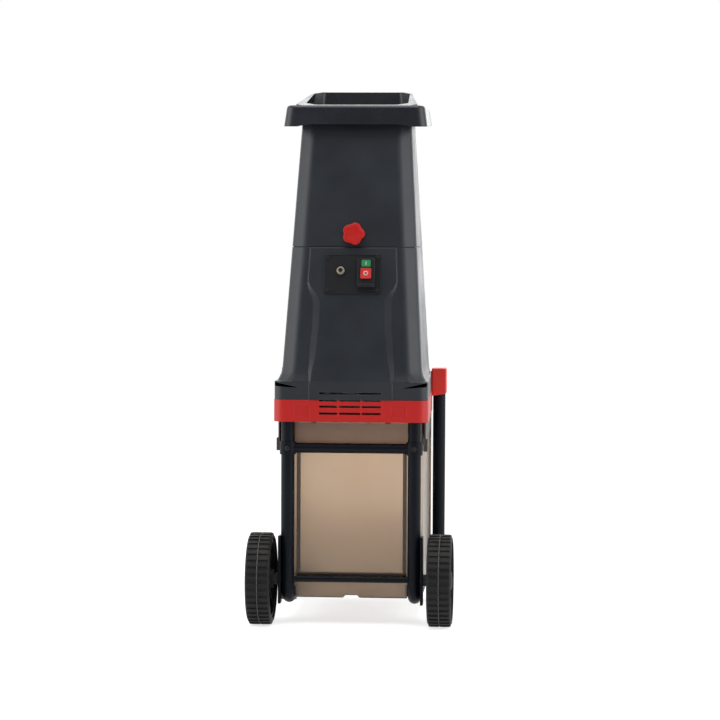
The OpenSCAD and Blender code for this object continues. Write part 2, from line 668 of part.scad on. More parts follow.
// The tread: a toothed outline with flat lug tops
lug_ring = [for (i = [0:lug_count - 1], corner = [[-0.3, 0], [-0.26, 1], [0.26, 1], [0.3, 0]])
    let (r = (wheel_r - (1 - corner[1]) * lug_depth) / cos(corner[0] * 360 / lug_count),
        a = (i + corner[0]) * 360 / lug_count) r * [cos(a), sin(a)]];
module tyre(side) color([0.13, 0.13, 0.135]) placed() sided(side)
    translate([wheel_in, near_leg_y, axle_z]) rotate([0, 90, 0]) difference() {
        union() {
            linear_extrude(wheel_w) polygon(lug_ring);
            translate([0, 0, wheel_w / 2 - seam_w / 2]) linear_extrude(seam_w) circle(r = wheel_r - seam_drop);
        }
        translate([0, 0, -1]) cylinder(r = rim_r, h = wheel_w + 2, $fn = 96);
    }
module tyre_left() tyre(-1);
module tyre_right() tyre(1);
module hub_cap(side) color([0.1, 0.1, 0.1]) placed() sided(side) difference() {
    bar_x(wheel_out - hub_end, wheel_out, hub_r - 1, near_leg_y, axle_z);
    bar_x(wheel_out - hub_end - 1, wheel_out - 1.5, hub_r - 5, near_leg_y, axle_z);
}
module hub_cap_left() hub_cap(-1);
module hub_cap_right() hub_cap(1);

// Catch box and the guides that hold its top edges

box_near = near_leg_y + tube_r + 4.5;
box_far = base_depth - 4;
box_top = base_z - box_gap;
rail_top = rail_z + tube_r;
// Top of the leg's bend at a depth, which the box's floor has to clear
function bend_top(y) = rail_z + bend_r - sqrt(pow(bend_r - tube_r, 2) - pow(near_leg_y + bend_r - y, 2));
ledge_z = bend_top(box_near) + 1.5;
runner_w = 12;
box_panel_half = 99;
box_panel_depth = 2;
box_panel_z = [94, 330];
notch_w = 24;
notch_h = 6;
notch_depth = 34;
grip = [110, 26, 12];
grip_z = 250;
guide_gap = 1;
guide_t = 3.5;
guide_y = [box_near + 2, 200];
guide_h = 34;
lug_h = 24;

module box_shell(inset) {
    block([-box_w / 2 + inset, box_near + inset, ledge_z + inset],
        [box_w / 2 - inset, box_far - inset, box_top + (inset > 0 ? 1 : 0)]);
    block([-keel_w / 2 + inset, box_near + inset, keel_z + inset],
        [keel_w / 2 - inset, box_far - inset, ledge_z + 2 * inset + 1]);
}
module catch_box() color([0.5, 0.42, 0.36, 0.6]) placed() difference() {
    union() {
        difference() {
            box_shell(0);
            box_shell(box_wall);
        }
        both() block([near_leg_x - runner_w / 2, near_leg_y + bend_r + 8, rail_top + soft_gap],
            [near_leg_x + runner_w / 2, box_far - 10, ledge_z + eps]);
        block([-grip.x / 2 - box_wall, box_far - grip.z - 2 * box_wall, grip_z - grip.y / 2 - box_wall],
            [grip.x / 2 + box_wall, box_far - box_wall, grip_z + grip.y / 2 + box_wall]);
        block([-notch_w / 2 - box_wall, box_near, keel_z],
            [notch_w / 2 + box_wall, box_near + notch_depth + box_wall, keel_z + notch_h + box_wall]);
    }
    block([-box_panel_half, box_near - 1, box_panel_z[0]],
        [box_panel_half, box_near + box_panel_depth, box_panel_z[1]]);
    block([-notch_w / 2, box_near - 1, keel_z - 1], [notch_w / 2, box_near + notch_depth, keel_z + notch_h]);
    block([-grip.x / 2, box_far - grip.z - box_wall, grip_z - grip.y / 2], [grip.x / 2, box_far + 1, grip_z + grip.y / 2]);
}
module box_guide(side) color([0.28, 0.27, 0.25]) placed() sided(side) {
    block([box_w / 2 + guide_gap, guide_y[0], base_z - guide_h], [box_w / 2 + guide_gap + guide_t, guide_y[1], base_z]);
    block([box_w / 2 + guide_gap, guide_y[0], base_z - guide_h - lug_h],
        [box_w / 2 + guide_gap + 2 * guide_t, guide_y[0] + 20, base_z - guide_h]);
}
module box_guide_left() box_guide(-1);
module box_guide_right() box_guide(1);

// Drive train

roller_z = base_z + roller_rise;
pair_span = (pinion_teeth + gear_teeth) / 2;
mid_z = roller_z + coarse_module * pair_span;
motor_z = mid_z - fine_module * pair_span;
cover_y = 140;
case_y = 146;
case_far = 190;
case_half = 66;
case_wall = 5;
case_top = mid_z + fine_module * (gear_teeth / 2 + 1) + 4;
shaft_r = 7;
mid_shaft_r = 7;
roller_shaft_r = 11;
fine_face = [147, 157];
coarse_face = [160, 180];
cutter_far = 306;
cutter_left = 84;
cutter_right = 66;
cutter_wall = 6;
end_wall = 8;
roller_face = [194, 294];
motor_near = 50;
fan_face = [37, 47];
fan_r = 46;

// Spur gear with straight-flanked teeth, slim enough to run with play
function gear_points(teeth, m, turn) = let (r = m * teeth / 2, half = m * (PI / 4 - 0.16))
    [for (i = [0:teeth - 1], corner = [[-1, -1.1], [-1, 0.8], [1, 0.8], [1, -1.1]])
        let (rho = r + corner[1] * m, t = half - corner[1] * m * tan(20),
            a = turn + i * 360 / teeth + corner[0] * t / rho * 180 / PI)
        rho * [cos(a), sin(a)]];
module gear(face, teeth, m, turn, z) translate([0, face[1], z]) rotate([90, 0, 0])
    linear_extrude(face[1] - face[0]) polygon(gear_points(teeth, m, turn));

module gear_case() color("lightgray") placed() difference() {
    block([-case_half, case_y, tray_floor_top], [case_half, case_far, case_top]);
    block([case_wall - case_half, case_y - 1, tray_floor_top + case_wall],
        [case_half - case_wall, case_far - end_wall, case_top - case_wall + 2]);
    bar_y(case_y, case_far + 1, roller_shaft_r + run_gap, 0, roller_z);
    bar_y(case_y, case_far - 2, mid_shaft_r + run_gap, 0, mid_z);
}
module gear_cover() color("lightgray") placed() difference() {
    block([-case_half, cover_y, tray_floor_top], [case_half, case_y, case_top]);
    bar_y(cover_y - 1, case_y + 1, shaft_r + run_gap, 0, motor_z);
    bar_y(cover_y + 2, case_y + 1, mid_shaft_r + run_gap, 0, mid_z);
}
module motor() color("slategray") placed() difference() {
    bar_y(motor_near, cover_y, motor_dia / 2, 0, motor_z);
    bar_y(motor_near - 1, cover_y + 1, shaft_r + run_gap, 0, motor_z);
}
module motor_shaft() color("silver") placed() {
    bar_y(fan_face[0], fine_face[1], shaft_r, 0, motor_z);
    gear(fine_face, pinion_teeth, fine_module, 90, motor_z);
}
module motor_fan() color("white") placed() difference() {
    union() {
        bar_y(fan_face[0], fan_face[0] + 2, fan_r, 0, motor_z);
        bar_y(fan_face[0], fan_face[1], shaft_r + 5, 0, motor_z);
        translate([0, fan_face[1], motor_z]) rotate([90, 0, 0]) for (i = [0:8]) rotate(i * 40)
            translate([shaft_r + 3, -1, 0]) cube([fan_r - shaft_r - 5, 2, fan_face[1] - fan_face[0]]);
    }
    bar_y(fan_face[0] - 1, fan_face[1] + 1, shaft_r + run_gap, 0, motor_z);
}
module run_capacitor() color("gainsboro") placed()
    bar_y(motor_near + 10, cover_y, 16, motor_dia / 2 + 17, motor_z);
module intermediate_gear() color("silver") placed() {
    bar_y(cover_y + 2 + soft_gap, case_far - 2 - soft_gap, mid_shaft_r, 0, mid_z);
    gear(fine_face, gear_teeth, fine_module, 270 + 180 / gear_teeth, mid_z);
    gear(coarse_face, pinion_teeth, coarse_module, 270, mid_z);
}
module roller_gear() color("silver") placed() difference() {
    gear(coarse_face, gear_teeth, coarse_module, 90 + 180 / gear_teeth, roller_z);
    bar_y(coarse_face[0] - 1, coarse_face[1] + 1, roller_shaft_r + run_gap, 0, roller_z);
}
// Toothed cutting roller with its shaft
module cutting_roller() color("darkgray") placed() {
    bar_y(coarse_face[0], cutter_far, roller_shaft_r, 0, roller_z);
    translate([0, roller_face[1], roller_z]) rotate([90, 0, 0]) linear_extrude(roller_face[1] - roller_face[0]) {
        circle(r = roller_dia / 2 - 9);
        for (i = [0:knife_count - 1]) rotate(i * 360 / knife_count)
            polygon([[roller_dia / 2 - 12, -9], [roller_dia / 2 - 1, -5], [roller_dia / 2 - 0.5, 5], [roller_dia / 2 - 12, 9]]);
    }
}
counter_gap = 2.5;
counter_t = 19.5;
counter_foot = 0.3;
counter_h = 99.7;
cutter_floor_t = 16;
counter_x = [-roller_dia / 2 - counter_gap - counter_t, -roller_dia / 2 - counter_gap];
counter_z = [tray_floor_top + cutter_floor_t + counter_foot, tray_floor_top + cutter_floor_t + counter_foot + counter_h];
module cutter_housing() color("lightgray") placed() difference() {
    block([-cutter_left, case_far, tray_floor_top], [cutter_right, cutter_far, case_top]);
    block([cutter_wall - cutter_left, case_far - 1, tray_floor_top + cutter_floor_t],
        [cutter_right - cutter_wall, cutter_far - end_wall, case_top + 1]);
    block([-outlet_w / 2, outlet_y[0], tray_floor_top - 1], [outlet_w / 2, outlet_y[1], tray_floor_top + cutter_floor_t + 1]);
    bar_y(case_far, cutter_far + 1, roller_shaft_r + run_gap, 0, roller_z);
    bar_x(-cutter_left - 1, 0, adjuster_r + run_gap, adjuster_y, adjuster_z);
}
module counter_plate() color("silver") placed() difference() {
    block([counter_x[0], case_far + soft_gap, counter_z[0]],
        [counter_x[1], cutter_far - end_wall - soft_gap, counter_z[1]]);
    bar_x(counter_x[0] - 1, counter_x[1] - 3, adjuster_r + slip_gap, adjuster_y, adjuster_z);
}
adjuster_seat = base_half(adjuster_y) - shoulder_inset;
module adjuster_screw() color("silver") placed() {
    bar_x(-adjuster_seat - 10, counter_x[0] + 8, adjuster_r, adjuster_y, adjuster_z);
    bar_x(-cutter_left - 6, -cutter_left - soft_gap, adjuster_r + 4, adjuster_y, adjuster_z);
}
module adjuster_knob() color([0.1, 0.1, 0.1]) placed() difference() {
    translate([-adjuster_seat - 0.6, adjuster_y, adjuster_z]) rotate([0, -90, 0]) difference() {
        cylinder(r = adjuster_dia / 2, h = 18);
        for (i = [0:11]) rotate(i * 30) translate([adjuster_dia / 2 + 1.5, 0, 3]) cylinder(r = 3, h = 20, $fn = 24);
    }
    bar_x(-adjuster_seat - 10, 0, adjuster_r + run_gap, adjuster_y, adjuster_z);
}

// Feed throat between hopper and roller

throat_top_z = seam_z - 4;
throat_wall = 3;
throat_mouth = [side_x(throat_top_z) - wall - tower_chamfer / 2 - 4, lock_y + lock_t + 4,
    far_y(throat_top_z) - wall - tower_chamfer / 2];
function throat_ring(left, right, y0, y1, z) = [[-left, y0, z], [right, y0, z], [right, y1, z], [-left, y1, z]];
module throat_block(inset, over) loft(
    throat_ring(cutter_left - inset, cutter_right - inset, case_far + eps + inset, cutter_far - inset, case_top - over),
    throat_ring(throat_mouth[0] - inset, throat_mouth[0] - inset, throat_mouth[1] + inset,
        throat_mouth[2] - inset, throat_top_z + over));
module feed_throat() color([0.25, 0.25, 0.26]) placed() difference() {
    throat_block(0, 0);
    throat_block(throat_wall, eps);
}

// Inlet, interlock and housing screws

inlet_x = 60;
inlet_rise = 145;
inlet_z = shoulder_top + inlet_rise;
inlet_r = 17;
inlet_h = 26;
inlet_floor = 8;
inlet_flange_r = 23;
inlet_flange_t = 4;
lock_block_h = 20;
screw_reach = 20;
interlock_w = 20;
interlock_t = 12;
screw_head_h = 2.5;
module power_inlet() color([0.1, 0.1, 0.1]) placed() on_far_face(inlet_z) translate([-inlet_x, 0, 0]) difference() {
    union() {
        cylinder(r = inlet_r, h = inlet_h);
        linear_extrude(inlet_flange_t) pad(2 * inlet_flange_r, 2 * inlet_flange_r, wall);
    }
    translate([0, 0, inlet_floor]) cylinder(r = inlet_r - wall, h = inlet_h);
}
module interlock_switch() color("white") placed() block([-lock_half - interlock_w, lock_y - interlock_t, lock_foot_z],
    [-lock_half, lock_y, lock_foot_z + lock_block_h]);
module interlock_magnet() color("dimgray") placed() block([magnet_x[0], near_y(magnet_z) + wall + 3, magnet_z - 3],
    [magnet_x[1], near_y(magnet_z) + wall + 11, magnet_z]);
module housing_screws() color("silver") placed() for (p = housing_screw_places) translate([p.x, p.y, 0]) {
    translate([0, 0, base_z - screw_head_h]) cylinder(r = housing_screw_r * 2, h = screw_head_h);
    translate([0, 0, base_z]) cylinder(r = housing_screw_r - slip_gap, h = tray_floor_t + screw_reach);
}

base_tray();
lower_housing();
hopper();
hopper_collar();
hinge_pin();
lock_plate();
star_knob();
knob_stud();
control_plate();
plate_screws();
switch_housing();
start_button();
stop_button();
reset_nut();
reset_button();
near_leg_left();
near_leg_right();
far_leg_left();
far_leg_right();
leg_socket_left();
leg_socket_right();
foot_left();
foot_right();
rail_plugs();
rail_spacers();
frame_bolts();
cross_bar();
bar_screws();
axle();
axle_plate_left();
axle_plate_right();
axle_collars();
push_nuts();
wheel_left();
wheel_right();
tyre_left();
tyre_right();
hub_cap_left();
hub_cap_right();
catch_box();
box_guide_left();
box_guide_right();
gear_case();
gear_cover();
motor();
motor_shaft();
motor_fan();
run_capacitor();
intermediate_gear();
roller_gear();
cutting_roller();
cutter_housing();
counter_plate();
adjuster_screw();
adjuster_knob();
feed_throat();
power_inlet();
interlock_switch();
interlock_magnet();
housing_screws();
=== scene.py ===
# %% [markdown]
# # Garden shredder
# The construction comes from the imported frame, in metres and in place. This
# lesson gives it its looks: finishes made of nodes, and new pieces modelled by
# hand over the plain solids. Everything is measured from the frame's own boxes,
# so that each new piece sits exactly where its solid sits.

# %% Load the frame
import json
import math

import bmesh
import bpy
from mathutils import Matrix, Vector

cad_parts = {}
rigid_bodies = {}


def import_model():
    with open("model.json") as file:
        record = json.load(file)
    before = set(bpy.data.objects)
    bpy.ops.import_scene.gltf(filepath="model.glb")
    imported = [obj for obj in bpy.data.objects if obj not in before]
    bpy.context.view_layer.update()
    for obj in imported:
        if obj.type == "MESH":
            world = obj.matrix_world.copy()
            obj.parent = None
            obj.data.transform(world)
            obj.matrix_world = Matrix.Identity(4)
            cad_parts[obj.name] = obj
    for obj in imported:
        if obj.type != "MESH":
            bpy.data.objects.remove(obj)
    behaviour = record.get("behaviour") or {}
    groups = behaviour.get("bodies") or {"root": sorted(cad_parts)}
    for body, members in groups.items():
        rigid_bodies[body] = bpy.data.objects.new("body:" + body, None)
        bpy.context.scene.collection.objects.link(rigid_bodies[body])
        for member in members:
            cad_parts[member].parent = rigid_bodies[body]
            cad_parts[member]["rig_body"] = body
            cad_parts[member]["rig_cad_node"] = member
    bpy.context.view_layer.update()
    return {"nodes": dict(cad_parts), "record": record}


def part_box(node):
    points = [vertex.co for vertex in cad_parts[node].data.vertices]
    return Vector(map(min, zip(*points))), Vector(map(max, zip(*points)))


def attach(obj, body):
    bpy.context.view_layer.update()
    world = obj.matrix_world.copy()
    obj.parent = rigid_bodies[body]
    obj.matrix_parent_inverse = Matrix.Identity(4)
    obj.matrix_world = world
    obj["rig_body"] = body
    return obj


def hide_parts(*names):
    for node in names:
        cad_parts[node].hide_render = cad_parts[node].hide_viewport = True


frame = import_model()
MM = 0.001

# %% [markdown]
# ## Camera
# The photograph was taken from about five metres, a little to the right of the
# machine and at three quarters of its height, with a long lens. Such a camera
# could be placed by eye, but its place can also be worked out: the far leg shows
# to the right of the near one, and that parallax gives the distance and the turn.

# %% Place the camera
IMAGE_PX = 720
FOCAL_PX = 2670
SENSOR_WIDTH = 36
CAMERA_PLACE = Vector((0.385, -5.163, 0.763))
CAMERA_YAW = math.radians(4.20)
CAMERA_DIP = math.radians(2.94)
CAMERA_ROLL = math.radians(0.25)

turn = (Matrix.Rotation(CAMERA_YAW, 4, "Z")
        @ Matrix.Rotation(math.pi / 2 - CAMERA_DIP, 4, "X")
        @ Matrix.Rotation(CAMERA_ROLL, 4, "Z"))
bpy.ops.object.camera_add(location=CAMERA_PLACE, rotation=turn.to_euler())
camera = bpy.context.object
camera.data.sensor_width = SENSOR_WIDTH
camera.data.lens = FOCAL_PX / IMAGE_PX * SENSOR_WIDTH
bpy.context.scene.camera = camera
print("camera: lens", round(camera.data.lens, 1), "mm")

# %% [markdown]
# ## Light, world and floor
# The photograph is a cut-out from a light tent: broad soft light from both
# sides, which brightens the chamfered corners, less from the front, and white all
# round but for the open front, where the photographer stands. Two softboxes at the
# sides and one overhead do that. The world is white where the camera, a reflection or
# the see-through box looks at it, and dimmer as a light, so that the lamps still shape
# the forms. Towards the open front it falls off, which keeps the near faces dark, and
# behind the machine it is overexposed, which whitens what is seen at a glancing angle.

# %% Set up the studio
scene = bpy.context.scene
scene.view_settings.view_transform = "Standard"


def feed(tree, node, values):
    """Set each input of a node to a value, or link it to a socket."""
    for socket, value in values.items():
        if isinstance(value, bpy.types.NodeSocket):
            tree.links.new(value, node.inputs[socket])
        else:
            node.inputs[socket].default_value = value


def add_node(tree, kind, values=None, **settings):
    """A new node with its settings made and its inputs fed."""
    node = tree.nodes.new(kind)
    for key, value in settings.items():
        setattr(node, key, value)
    feed(tree, node, values or {})
    return node


def maths(tree, operation, *values):
    """The result of an operation on numbers and sockets, as a socket."""
    return add_node(tree, "ShaderNodeMath", dict(enumerate(values)), operation=operation).outputs[0]


def remap(tree, value, low, high, out_low=0.0, out_high=1.0, **settings):
    """A value carried from one range to another, as a socket."""
    ranges = {"Value": value, "From Min": low, "From Max": high,
              "To Min": out_low, "To Max": out_high}
    return add_node(tree, "ShaderNodeMapRange", ranges, **settings).outputs["Result"]


def new_material(name):
    """A new material, with its node tree and its main shader."""
    material = bpy.data.materials.new(name)
    material.use_nodes = True
    return material, material.node_tree, material.node_tree.nodes["Principled BSDF"]


def softbox(name, place, size, power):
    """A square area lamp at a place, turned to the middle of the machine."""
    aim = (MIDDLE - Vector(place)).to_track_quat("-Z", "Y").to_euler()
    bpy.ops.object.light_add(type="AREA", location=place, rotation=aim)
    lamp = bpy.context.object
    lamp.name = name
    lamp.data.size = size
    lamp.data.energy = power


MIDDLE = Vector((0, 0, 0.55))
softbox("softbox_left", (-2.6, -0.7, 1.2), 2.2, 36)
softbox("softbox_right", (2.6, -0.7, 1.2), 2.2, 36)
softbox("softbox_top", (0, -0.6, 3.2), 2.4, 48)

WHITE = (1, 1, 1, 1)
WORLD_FILL, FRONT_DIM, BACK_GLOW = 0.42, 0.22, 2.4
world = bpy.data.worlds.new("light_tent")
scene.world = world
world.use_nodes = True
tree = world.node_tree
rays = add_node(tree, "ShaderNodeLightPath").outputs
sky = add_node(tree, "ShaderNodeTexCoord").outputs["Generated"]
depth = add_node(tree, "ShaderNodeSeparateXYZ", {"Vector": sky}).outputs["Y"]
front = remap(tree, depth, -0.95, -0.45, FRONT_DIM, 1.0)
back = remap(tree, depth, 0.70, 0.95, 1.0, BACK_GLOW)
lit = maths(tree, "MULTIPLY", remap(tree, rays["Is Glossy Ray"], 0.0, 1.0, WORLD_FILL, back), front)
seen = maths(tree, "MAXIMUM", rays["Is Camera Ray"], rays["Is Transmission Ray"])
light = maths(tree, "MAXIMUM", lit, seen)
feed(tree, tree.nodes["Background"], {"Color": WHITE, "Strength": light})

FLOOR_SIZE, FLOOR_GREY, FLOOR_GLOW = 60, (0.8, 0.8, 0.8, 1), 0.70
bpy.ops.mesh.primitive_plane_add(size=FLOOR_SIZE, location=(0, 0, 0))
floor = bpy.context.object
floor.name = "studio_floor"
floor_paint, tree, shader = new_material("studio_floor_paint")
rays = add_node(tree, "ShaderNodeLightPath").outputs
seen = maths(tree, "MAXIMUM", rays["Is Camera Ray"], rays["Is Glossy Ray"])
seen = maths(tree, "MAXIMUM", seen, rays["Is Transmission Ray"])
glow = maths(tree, "MULTIPLY", seen, FLOOR_GLOW)
feed(tree, shader, {"Base Color": FLOOR_GREY, "Roughness": 0.9, "Specular IOR Level": 0.0,
                    "Emission Color": WHITE, "Emission Strength": glow})
floor.data.materials.append(floor_paint)
print("studio: three softboxes, white world, floor", FLOOR_SIZE, "m")

# %% [markdown]
# ## Effects that the finishes share
# Moulded plastic is never one flat colour. It has a fine spark-eroded grain from
# the mould, slow changes of tone, paler edges, partly rubbed wear and partly a painted
# highlight, and a little dust on what faces up. Each effect is built once as a node
# group with named sockets, and every finish places it with its own values.

# %% Build the shared node groups


def new_group(name, inputs, outputs):
    """An empty node group with float sockets, what it is asked, and its output node."""
    group = bpy.data.node_groups.new(name, "ShaderNodeTree")
    for label, value in inputs.items():
        socket = group.interface.new_socket(label, in_out="INPUT", socket_type="NodeSocketFloat")
        socket.default_value = value
    for label in outputs:
        group.interface.new_socket(label, in_out="OUTPUT", socket_type="NodeSocketFloat")
    return group, group.nodes.new("NodeGroupInput").outputs, group.nodes.new("NodeGroupOutput")


def object_place(tree):
    """The place on the object, as a socket."""
    return add_node(tree, "ShaderNodeTexCoord").outputs["Object"]


def noise(tree, scale, detail, roughness=0.5, where=None):
    """A cloudy noise over the object, as a socket."""
    values = {"Vector": where or object_place(tree), "Scale": scale,
              "Detail": detail, "Roughness": roughness}
    return add_node(tree, "ShaderNodeTexNoise", values).outputs["Fac"]


# Grain: pits and bumps of a mould's texture, with a fleck mask for the gloss
group, ask, give = new_group("moulded_grain", {"Scale": 1200.0}, ["Height", "Fleck"])
grain_group = group
pits = add_node(group, "ShaderNodeTexVoronoi",
                {"Vector": object_place(group), "Scale": ask["Scale"]})
bumps = noise(group, ask["Scale"], 3.0)
feed(group, give, {"Height": maths(group, "ADD", pits.outputs["Distance"], bumps),
                   "Fleck": remap(group, bumps, 0.42, 0.62)})

# Mottle: slow drifts of tone and gloss over a hand's breadth
group, ask, give = new_group("slow_mottle", {"Scale": 14.0}, ["Tone"])
mottle_group = group
feed(group, give, {"Tone": remap(group, noise(group, ask["Scale"], 4.0, 0.55), 0.3, 0.7)})

# Edge wear and painted highlight: where a rounded normal departs from the true one there is an edge
group, ask, give = new_group("edge_wear_and_highlight", {"Width": 0.0015, "Break": 260.0}, ["Mask"])
wear_and_highlight_group = group
soft_normal = add_node(group, "ShaderNodeBevel", {"Radius": ask["Width"]}, samples=4).outputs[0]
true_normal = add_node(group, "ShaderNodeNewGeometry").outputs["Normal"]
agree = add_node(group, "ShaderNodeVectorMath", {0: soft_normal, 1: true_normal},
                 operation="DOT_PRODUCT").outputs["Value"]
rub = remap(group, noise(group, ask["Break"], 5.0), 0.38, 0.66)
feed(group, give, {"Mask": maths(group, "MULTIPLY", remap(group, agree, 0.995, 0.88), rub)})

# Dust: settles on what faces up, in patches
group, ask, give = new_group("settled_dust", {"Patch": 45.0}, ["Mask"])
dust_group = group
normal = add_node(group, "ShaderNodeTexCoord").outputs["Normal"]
upward = add_node(group, "ShaderNodeSeparateXYZ", {"Vector": normal}).outputs["Z"]
patch = remap(group, noise(group, ask["Patch"], 6.0, 0.65), 0.35, 0.7)
feed(group, give, {"Mask": maths(group, "MULTIPLY", remap(group, upward, 0.35, 1.0), patch)})

# Scratches: hair-fine lines along a direction, for metal
group, ask, give = new_group("hair_scratches", {"Across": 1500.0, "Along": 25.0}, ["Line"])
scratch_group = group
ways = add_node(group, "ShaderNodeCombineXYZ",
                {"X": ask["Along"], "Y": ask["Across"], "Z": ask["Across"]}).outputs[0]
drawn = add_node(group, "ShaderNodeVectorMath", {0: object_place(group), 1: ways},
                 operation="MULTIPLY").outputs[0]
feed(group, give, {"Line": noise(group, 1.0, 3.0, where=drawn)})
print("node groups:", ", ".join(group.name for group in bpy.data.node_groups))

# %% [markdown]
# ## Finishes
# One function makes every moulded or painted finish: a colour that drifts a
# little, a paler tone on the edges, partly rubbed wear and partly a painted highlight,
# dust, and a grain that drives both the bump and the gloss. A flat colour with one
# roughness would be quicker, but it looks like a computer picture at once, because
# no real moulding is that even.

# %% Make the moulded and painted finishes


def shade(*levels):
    """A display colour, with levels up to 255, as the linear colour that Blender uses."""
    parts = [level / 255 for level in levels]
    return tuple(part / 12.92 if part < 0.0405 else ((part + 0.055) / 1.055) ** 2.4
                 for part in parts) + (1.0,)


def lighten(colour, factor):
    """The colour with its light multiplied."""
    return tuple(min(1.0, c * factor) for c in colour[:3]) + (1.0,)


def mix_colour(tree, factor, low, high):
    """A mix of two colours, each a value or a socket, by a mask."""
    node = add_node(tree, "ShaderNodeMix", {0: factor, 6: low, 7: high}, data_type="RGBA")
    return node.outputs[2]


def place_group(tree, group, **values):
    """One of the shared groups, placed in a finish with its own values."""
    return add_node(tree, "ShaderNodeGroup", values, node_tree=group).outputs


DUST_COLOUR = shade(150, 140, 125)
FLECK_GLOSS, WEAR_AND_HIGHLIGHT = 0.06, 0.3
finishes = {}


def moulded(slot, colour, gloss, specular, grain, depth,
            drift=0.12, wear_lift=1.8, dust=0.05, soften=1.0):
    """A moulded or painted finish with softened edges, kept under the record's slot name."""
    finishes[slot], tree, shader = new_material(slot)
    mottle = place_group(tree, mottle_group)["Tone"]
    grains = place_group(tree, grain_group, Scale=grain)
    body = mix_colour(tree, mottle, lighten(colour, 1 - drift), lighten(colour, 1 + drift))
    # Paler edges: partly rubbed wear, partly a painted highlight
    worn_or_lit = maths(tree, "MULTIPLY", place_group(tree, wear_and_highlight_group)["Mask"], WEAR_AND_HIGHLIGHT)
    body = mix_colour(tree, worn_or_lit, body, lighten(colour, wear_lift))
    dusty = maths(tree, "MULTIPLY", place_group(tree, dust_group)["Mask"], dust)
    body = mix_colour(tree, dusty, body, DUST_COLOUR)
    rough = remap(tree, mottle, 0.0, 1.0, *gloss)
    rough = maths(tree, "MULTIPLY_ADD", grains["Fleck"], FLECK_GLOSS, rough)
    edge = add_node(tree, "ShaderNodeBevel", {"Radius": soften * MM}, samples=8).outputs[0]
    bump = add_node(tree, "ShaderNodeBump", {"Height": grains["Height"], "Strength": depth,
                                             "Distance": 0.4 * MM, "Normal": edge}).outputs[0]
    feed(tree, shader, {"Base Color": body, "Roughness": rough, "Normal": bump,
                        "Specular IOR Level": specular})


RED = {"drift": 0.06, "wear_lift": 1.3, "soften": 1.5}
KEY = {"drift": 0.08, "wear_lift": 1.4}
MOULDED = (
    # Slot, display colour, gloss from and to, specular, scale and depth of the grain, the rest
    ("housing_grey", (35, 39, 45), (0.30, 0.40), 0.33, 1500, 0.12, {"soften": 1.5}),
    ("collar_grey", (27, 29, 36), (0.22, 0.32), 0.40, 1500, 0.08, {}),
    ("red_plastic", (194, 27, 23), (0.30, 0.40), 0.35, 900, 0.06, RED),
    # Painted light: a paler copy of the red for the leg caps, for the side light on them
    ("cap_red", (226, 60, 52), (0.30, 0.40), 0.35, 900, 0.06, RED),
    ("tube_black", (15, 19, 26), (0.30, 0.40), 0.10, 700, 0.08, {}),
    ("plate_black", (24, 25, 29), (0.46, 0.58), 0.22, 1800, 0.12, {}),
    ("screw_black", (20, 20, 22), (0.34, 0.46), 0.30, 1600, 0.05, {}),
    ("start_green", (48, 140, 88), (0.28, 0.38), 0.35, 1400, 0.05, KEY),
    ("stop_red", (216, 58, 56), (0.28, 0.38), 0.35, 1400, 0.05, KEY),
    ("rubber_black", (28, 28, 29), (0.62, 0.75), 0.25, 900, 0.20, {"dust": 0.2}),
    ("spacer_black", (32, 32, 33), (0.42, 0.55), 0.35, 1400, 0.10, {}),
    ("wheel_black", (24, 24, 25), (0.48, 0.62), 0.22, 1000, 0.18, {"dust": 0.12}),
    ("seam_grey", (82, 82, 82), (0.50, 0.62), 0.35, 1000, 0.10, {}),
    ("guide_grey", (78, 74, 69), (0.45, 0.58), 0.35, 1200, 0.12, {}),
    ("motor_grey", (105, 108, 112), (0.35, 0.50), 0.35, 800, 0.10, {"dust": 0.15}),
    ("white_plastic", (214, 213, 208), (0.35, 0.48), 0.35, 1400, 0.06,
     {"drift": 0.05, "wear_lift": 1.1}),
    ("magnet_grey", (88, 88, 90), (0.50, 0.65), 0.35, 1500, 0.20, {}),
)
for slot, colour, *values, rest in MOULDED:
    moulded(slot, shade(*colour), *values, **rest)
print("moulded finishes:", len(finishes))

# %% [markdown]
# ## Metal finishes
# Zinc plate, nickel and cast aluminium differ in how their gloss breaks up. Plate
# has hair scratches along the part and a slight colour drift. A casting is matt
# and pebbled. All three are fully metallic, so their colour is their reflection.

# %% Make the metal finishes


def metal(slot, colour, gloss, grain, depth, scratches=0.0):
    """A bare metal finish, with a cast pebble or hair scratches in its gloss."""
    finishes[slot], tree, shader = new_material(slot)
    mottle = place_group(tree, mottle_group, Scale=60.0)["Tone"]
    grains = place_group(tree, grain_group, Scale=grain)
    lines = place_group(tree, scratch_group)["Line"]
    tint = mix_colour(tree, mottle, lighten(colour, 0.82), colour)
    scored = maths(tree, "MULTIPLY_ADD", lines, scratches, grains["Fleck"])
    rough = remap(tree, scored, 0.0, 1.0 + scratches, *gloss)
    bump = add_node(tree, "ShaderNodeBump", {"Height": grains["Height"], "Strength": depth,
                                             "Distance": 0.3 * MM}).outputs[0]
    feed(tree, shader, {"Base Color": tint, "Metallic": 1.0, "Roughness": rough, "Normal": bump})


metal("steel", shade(190, 191, 193), (0.22, 0.42), 1500.0, 0.03, scratches=1.0)
metal("chrome_ring", shade(168, 160, 142), (0.30, 0.45), 1800.0, 0.02, scratches=0.6)
metal("cast_alloy", shade(196, 197, 199), (0.42, 0.62), 700.0, 0.18)
metal("steel_dull", shade(70, 66, 62), (0.45, 0.6), 1500.0, 0.05)
print("finishes so far:", len(finishes))

# %% [markdown]
# ## Smoky catch box
# The box is moulded from smoke-brown clear plastic with a slightly dull inside.
# Light goes through two walls before it reaches the eye, so the tint of one wall
# is about the square root of the colour that shows. Glass with roughness gives the
# soft look. The tint drifts slowly, and it is darker towards the foot of the box: painted shade.

# %% Make the see-through finish
# Painted shade: below the clear height the tint darkens towards the foot of the box
FOOT_Z, CLEAR_Z = 0.11, 0.27
FOOT_SHADE = 0.74


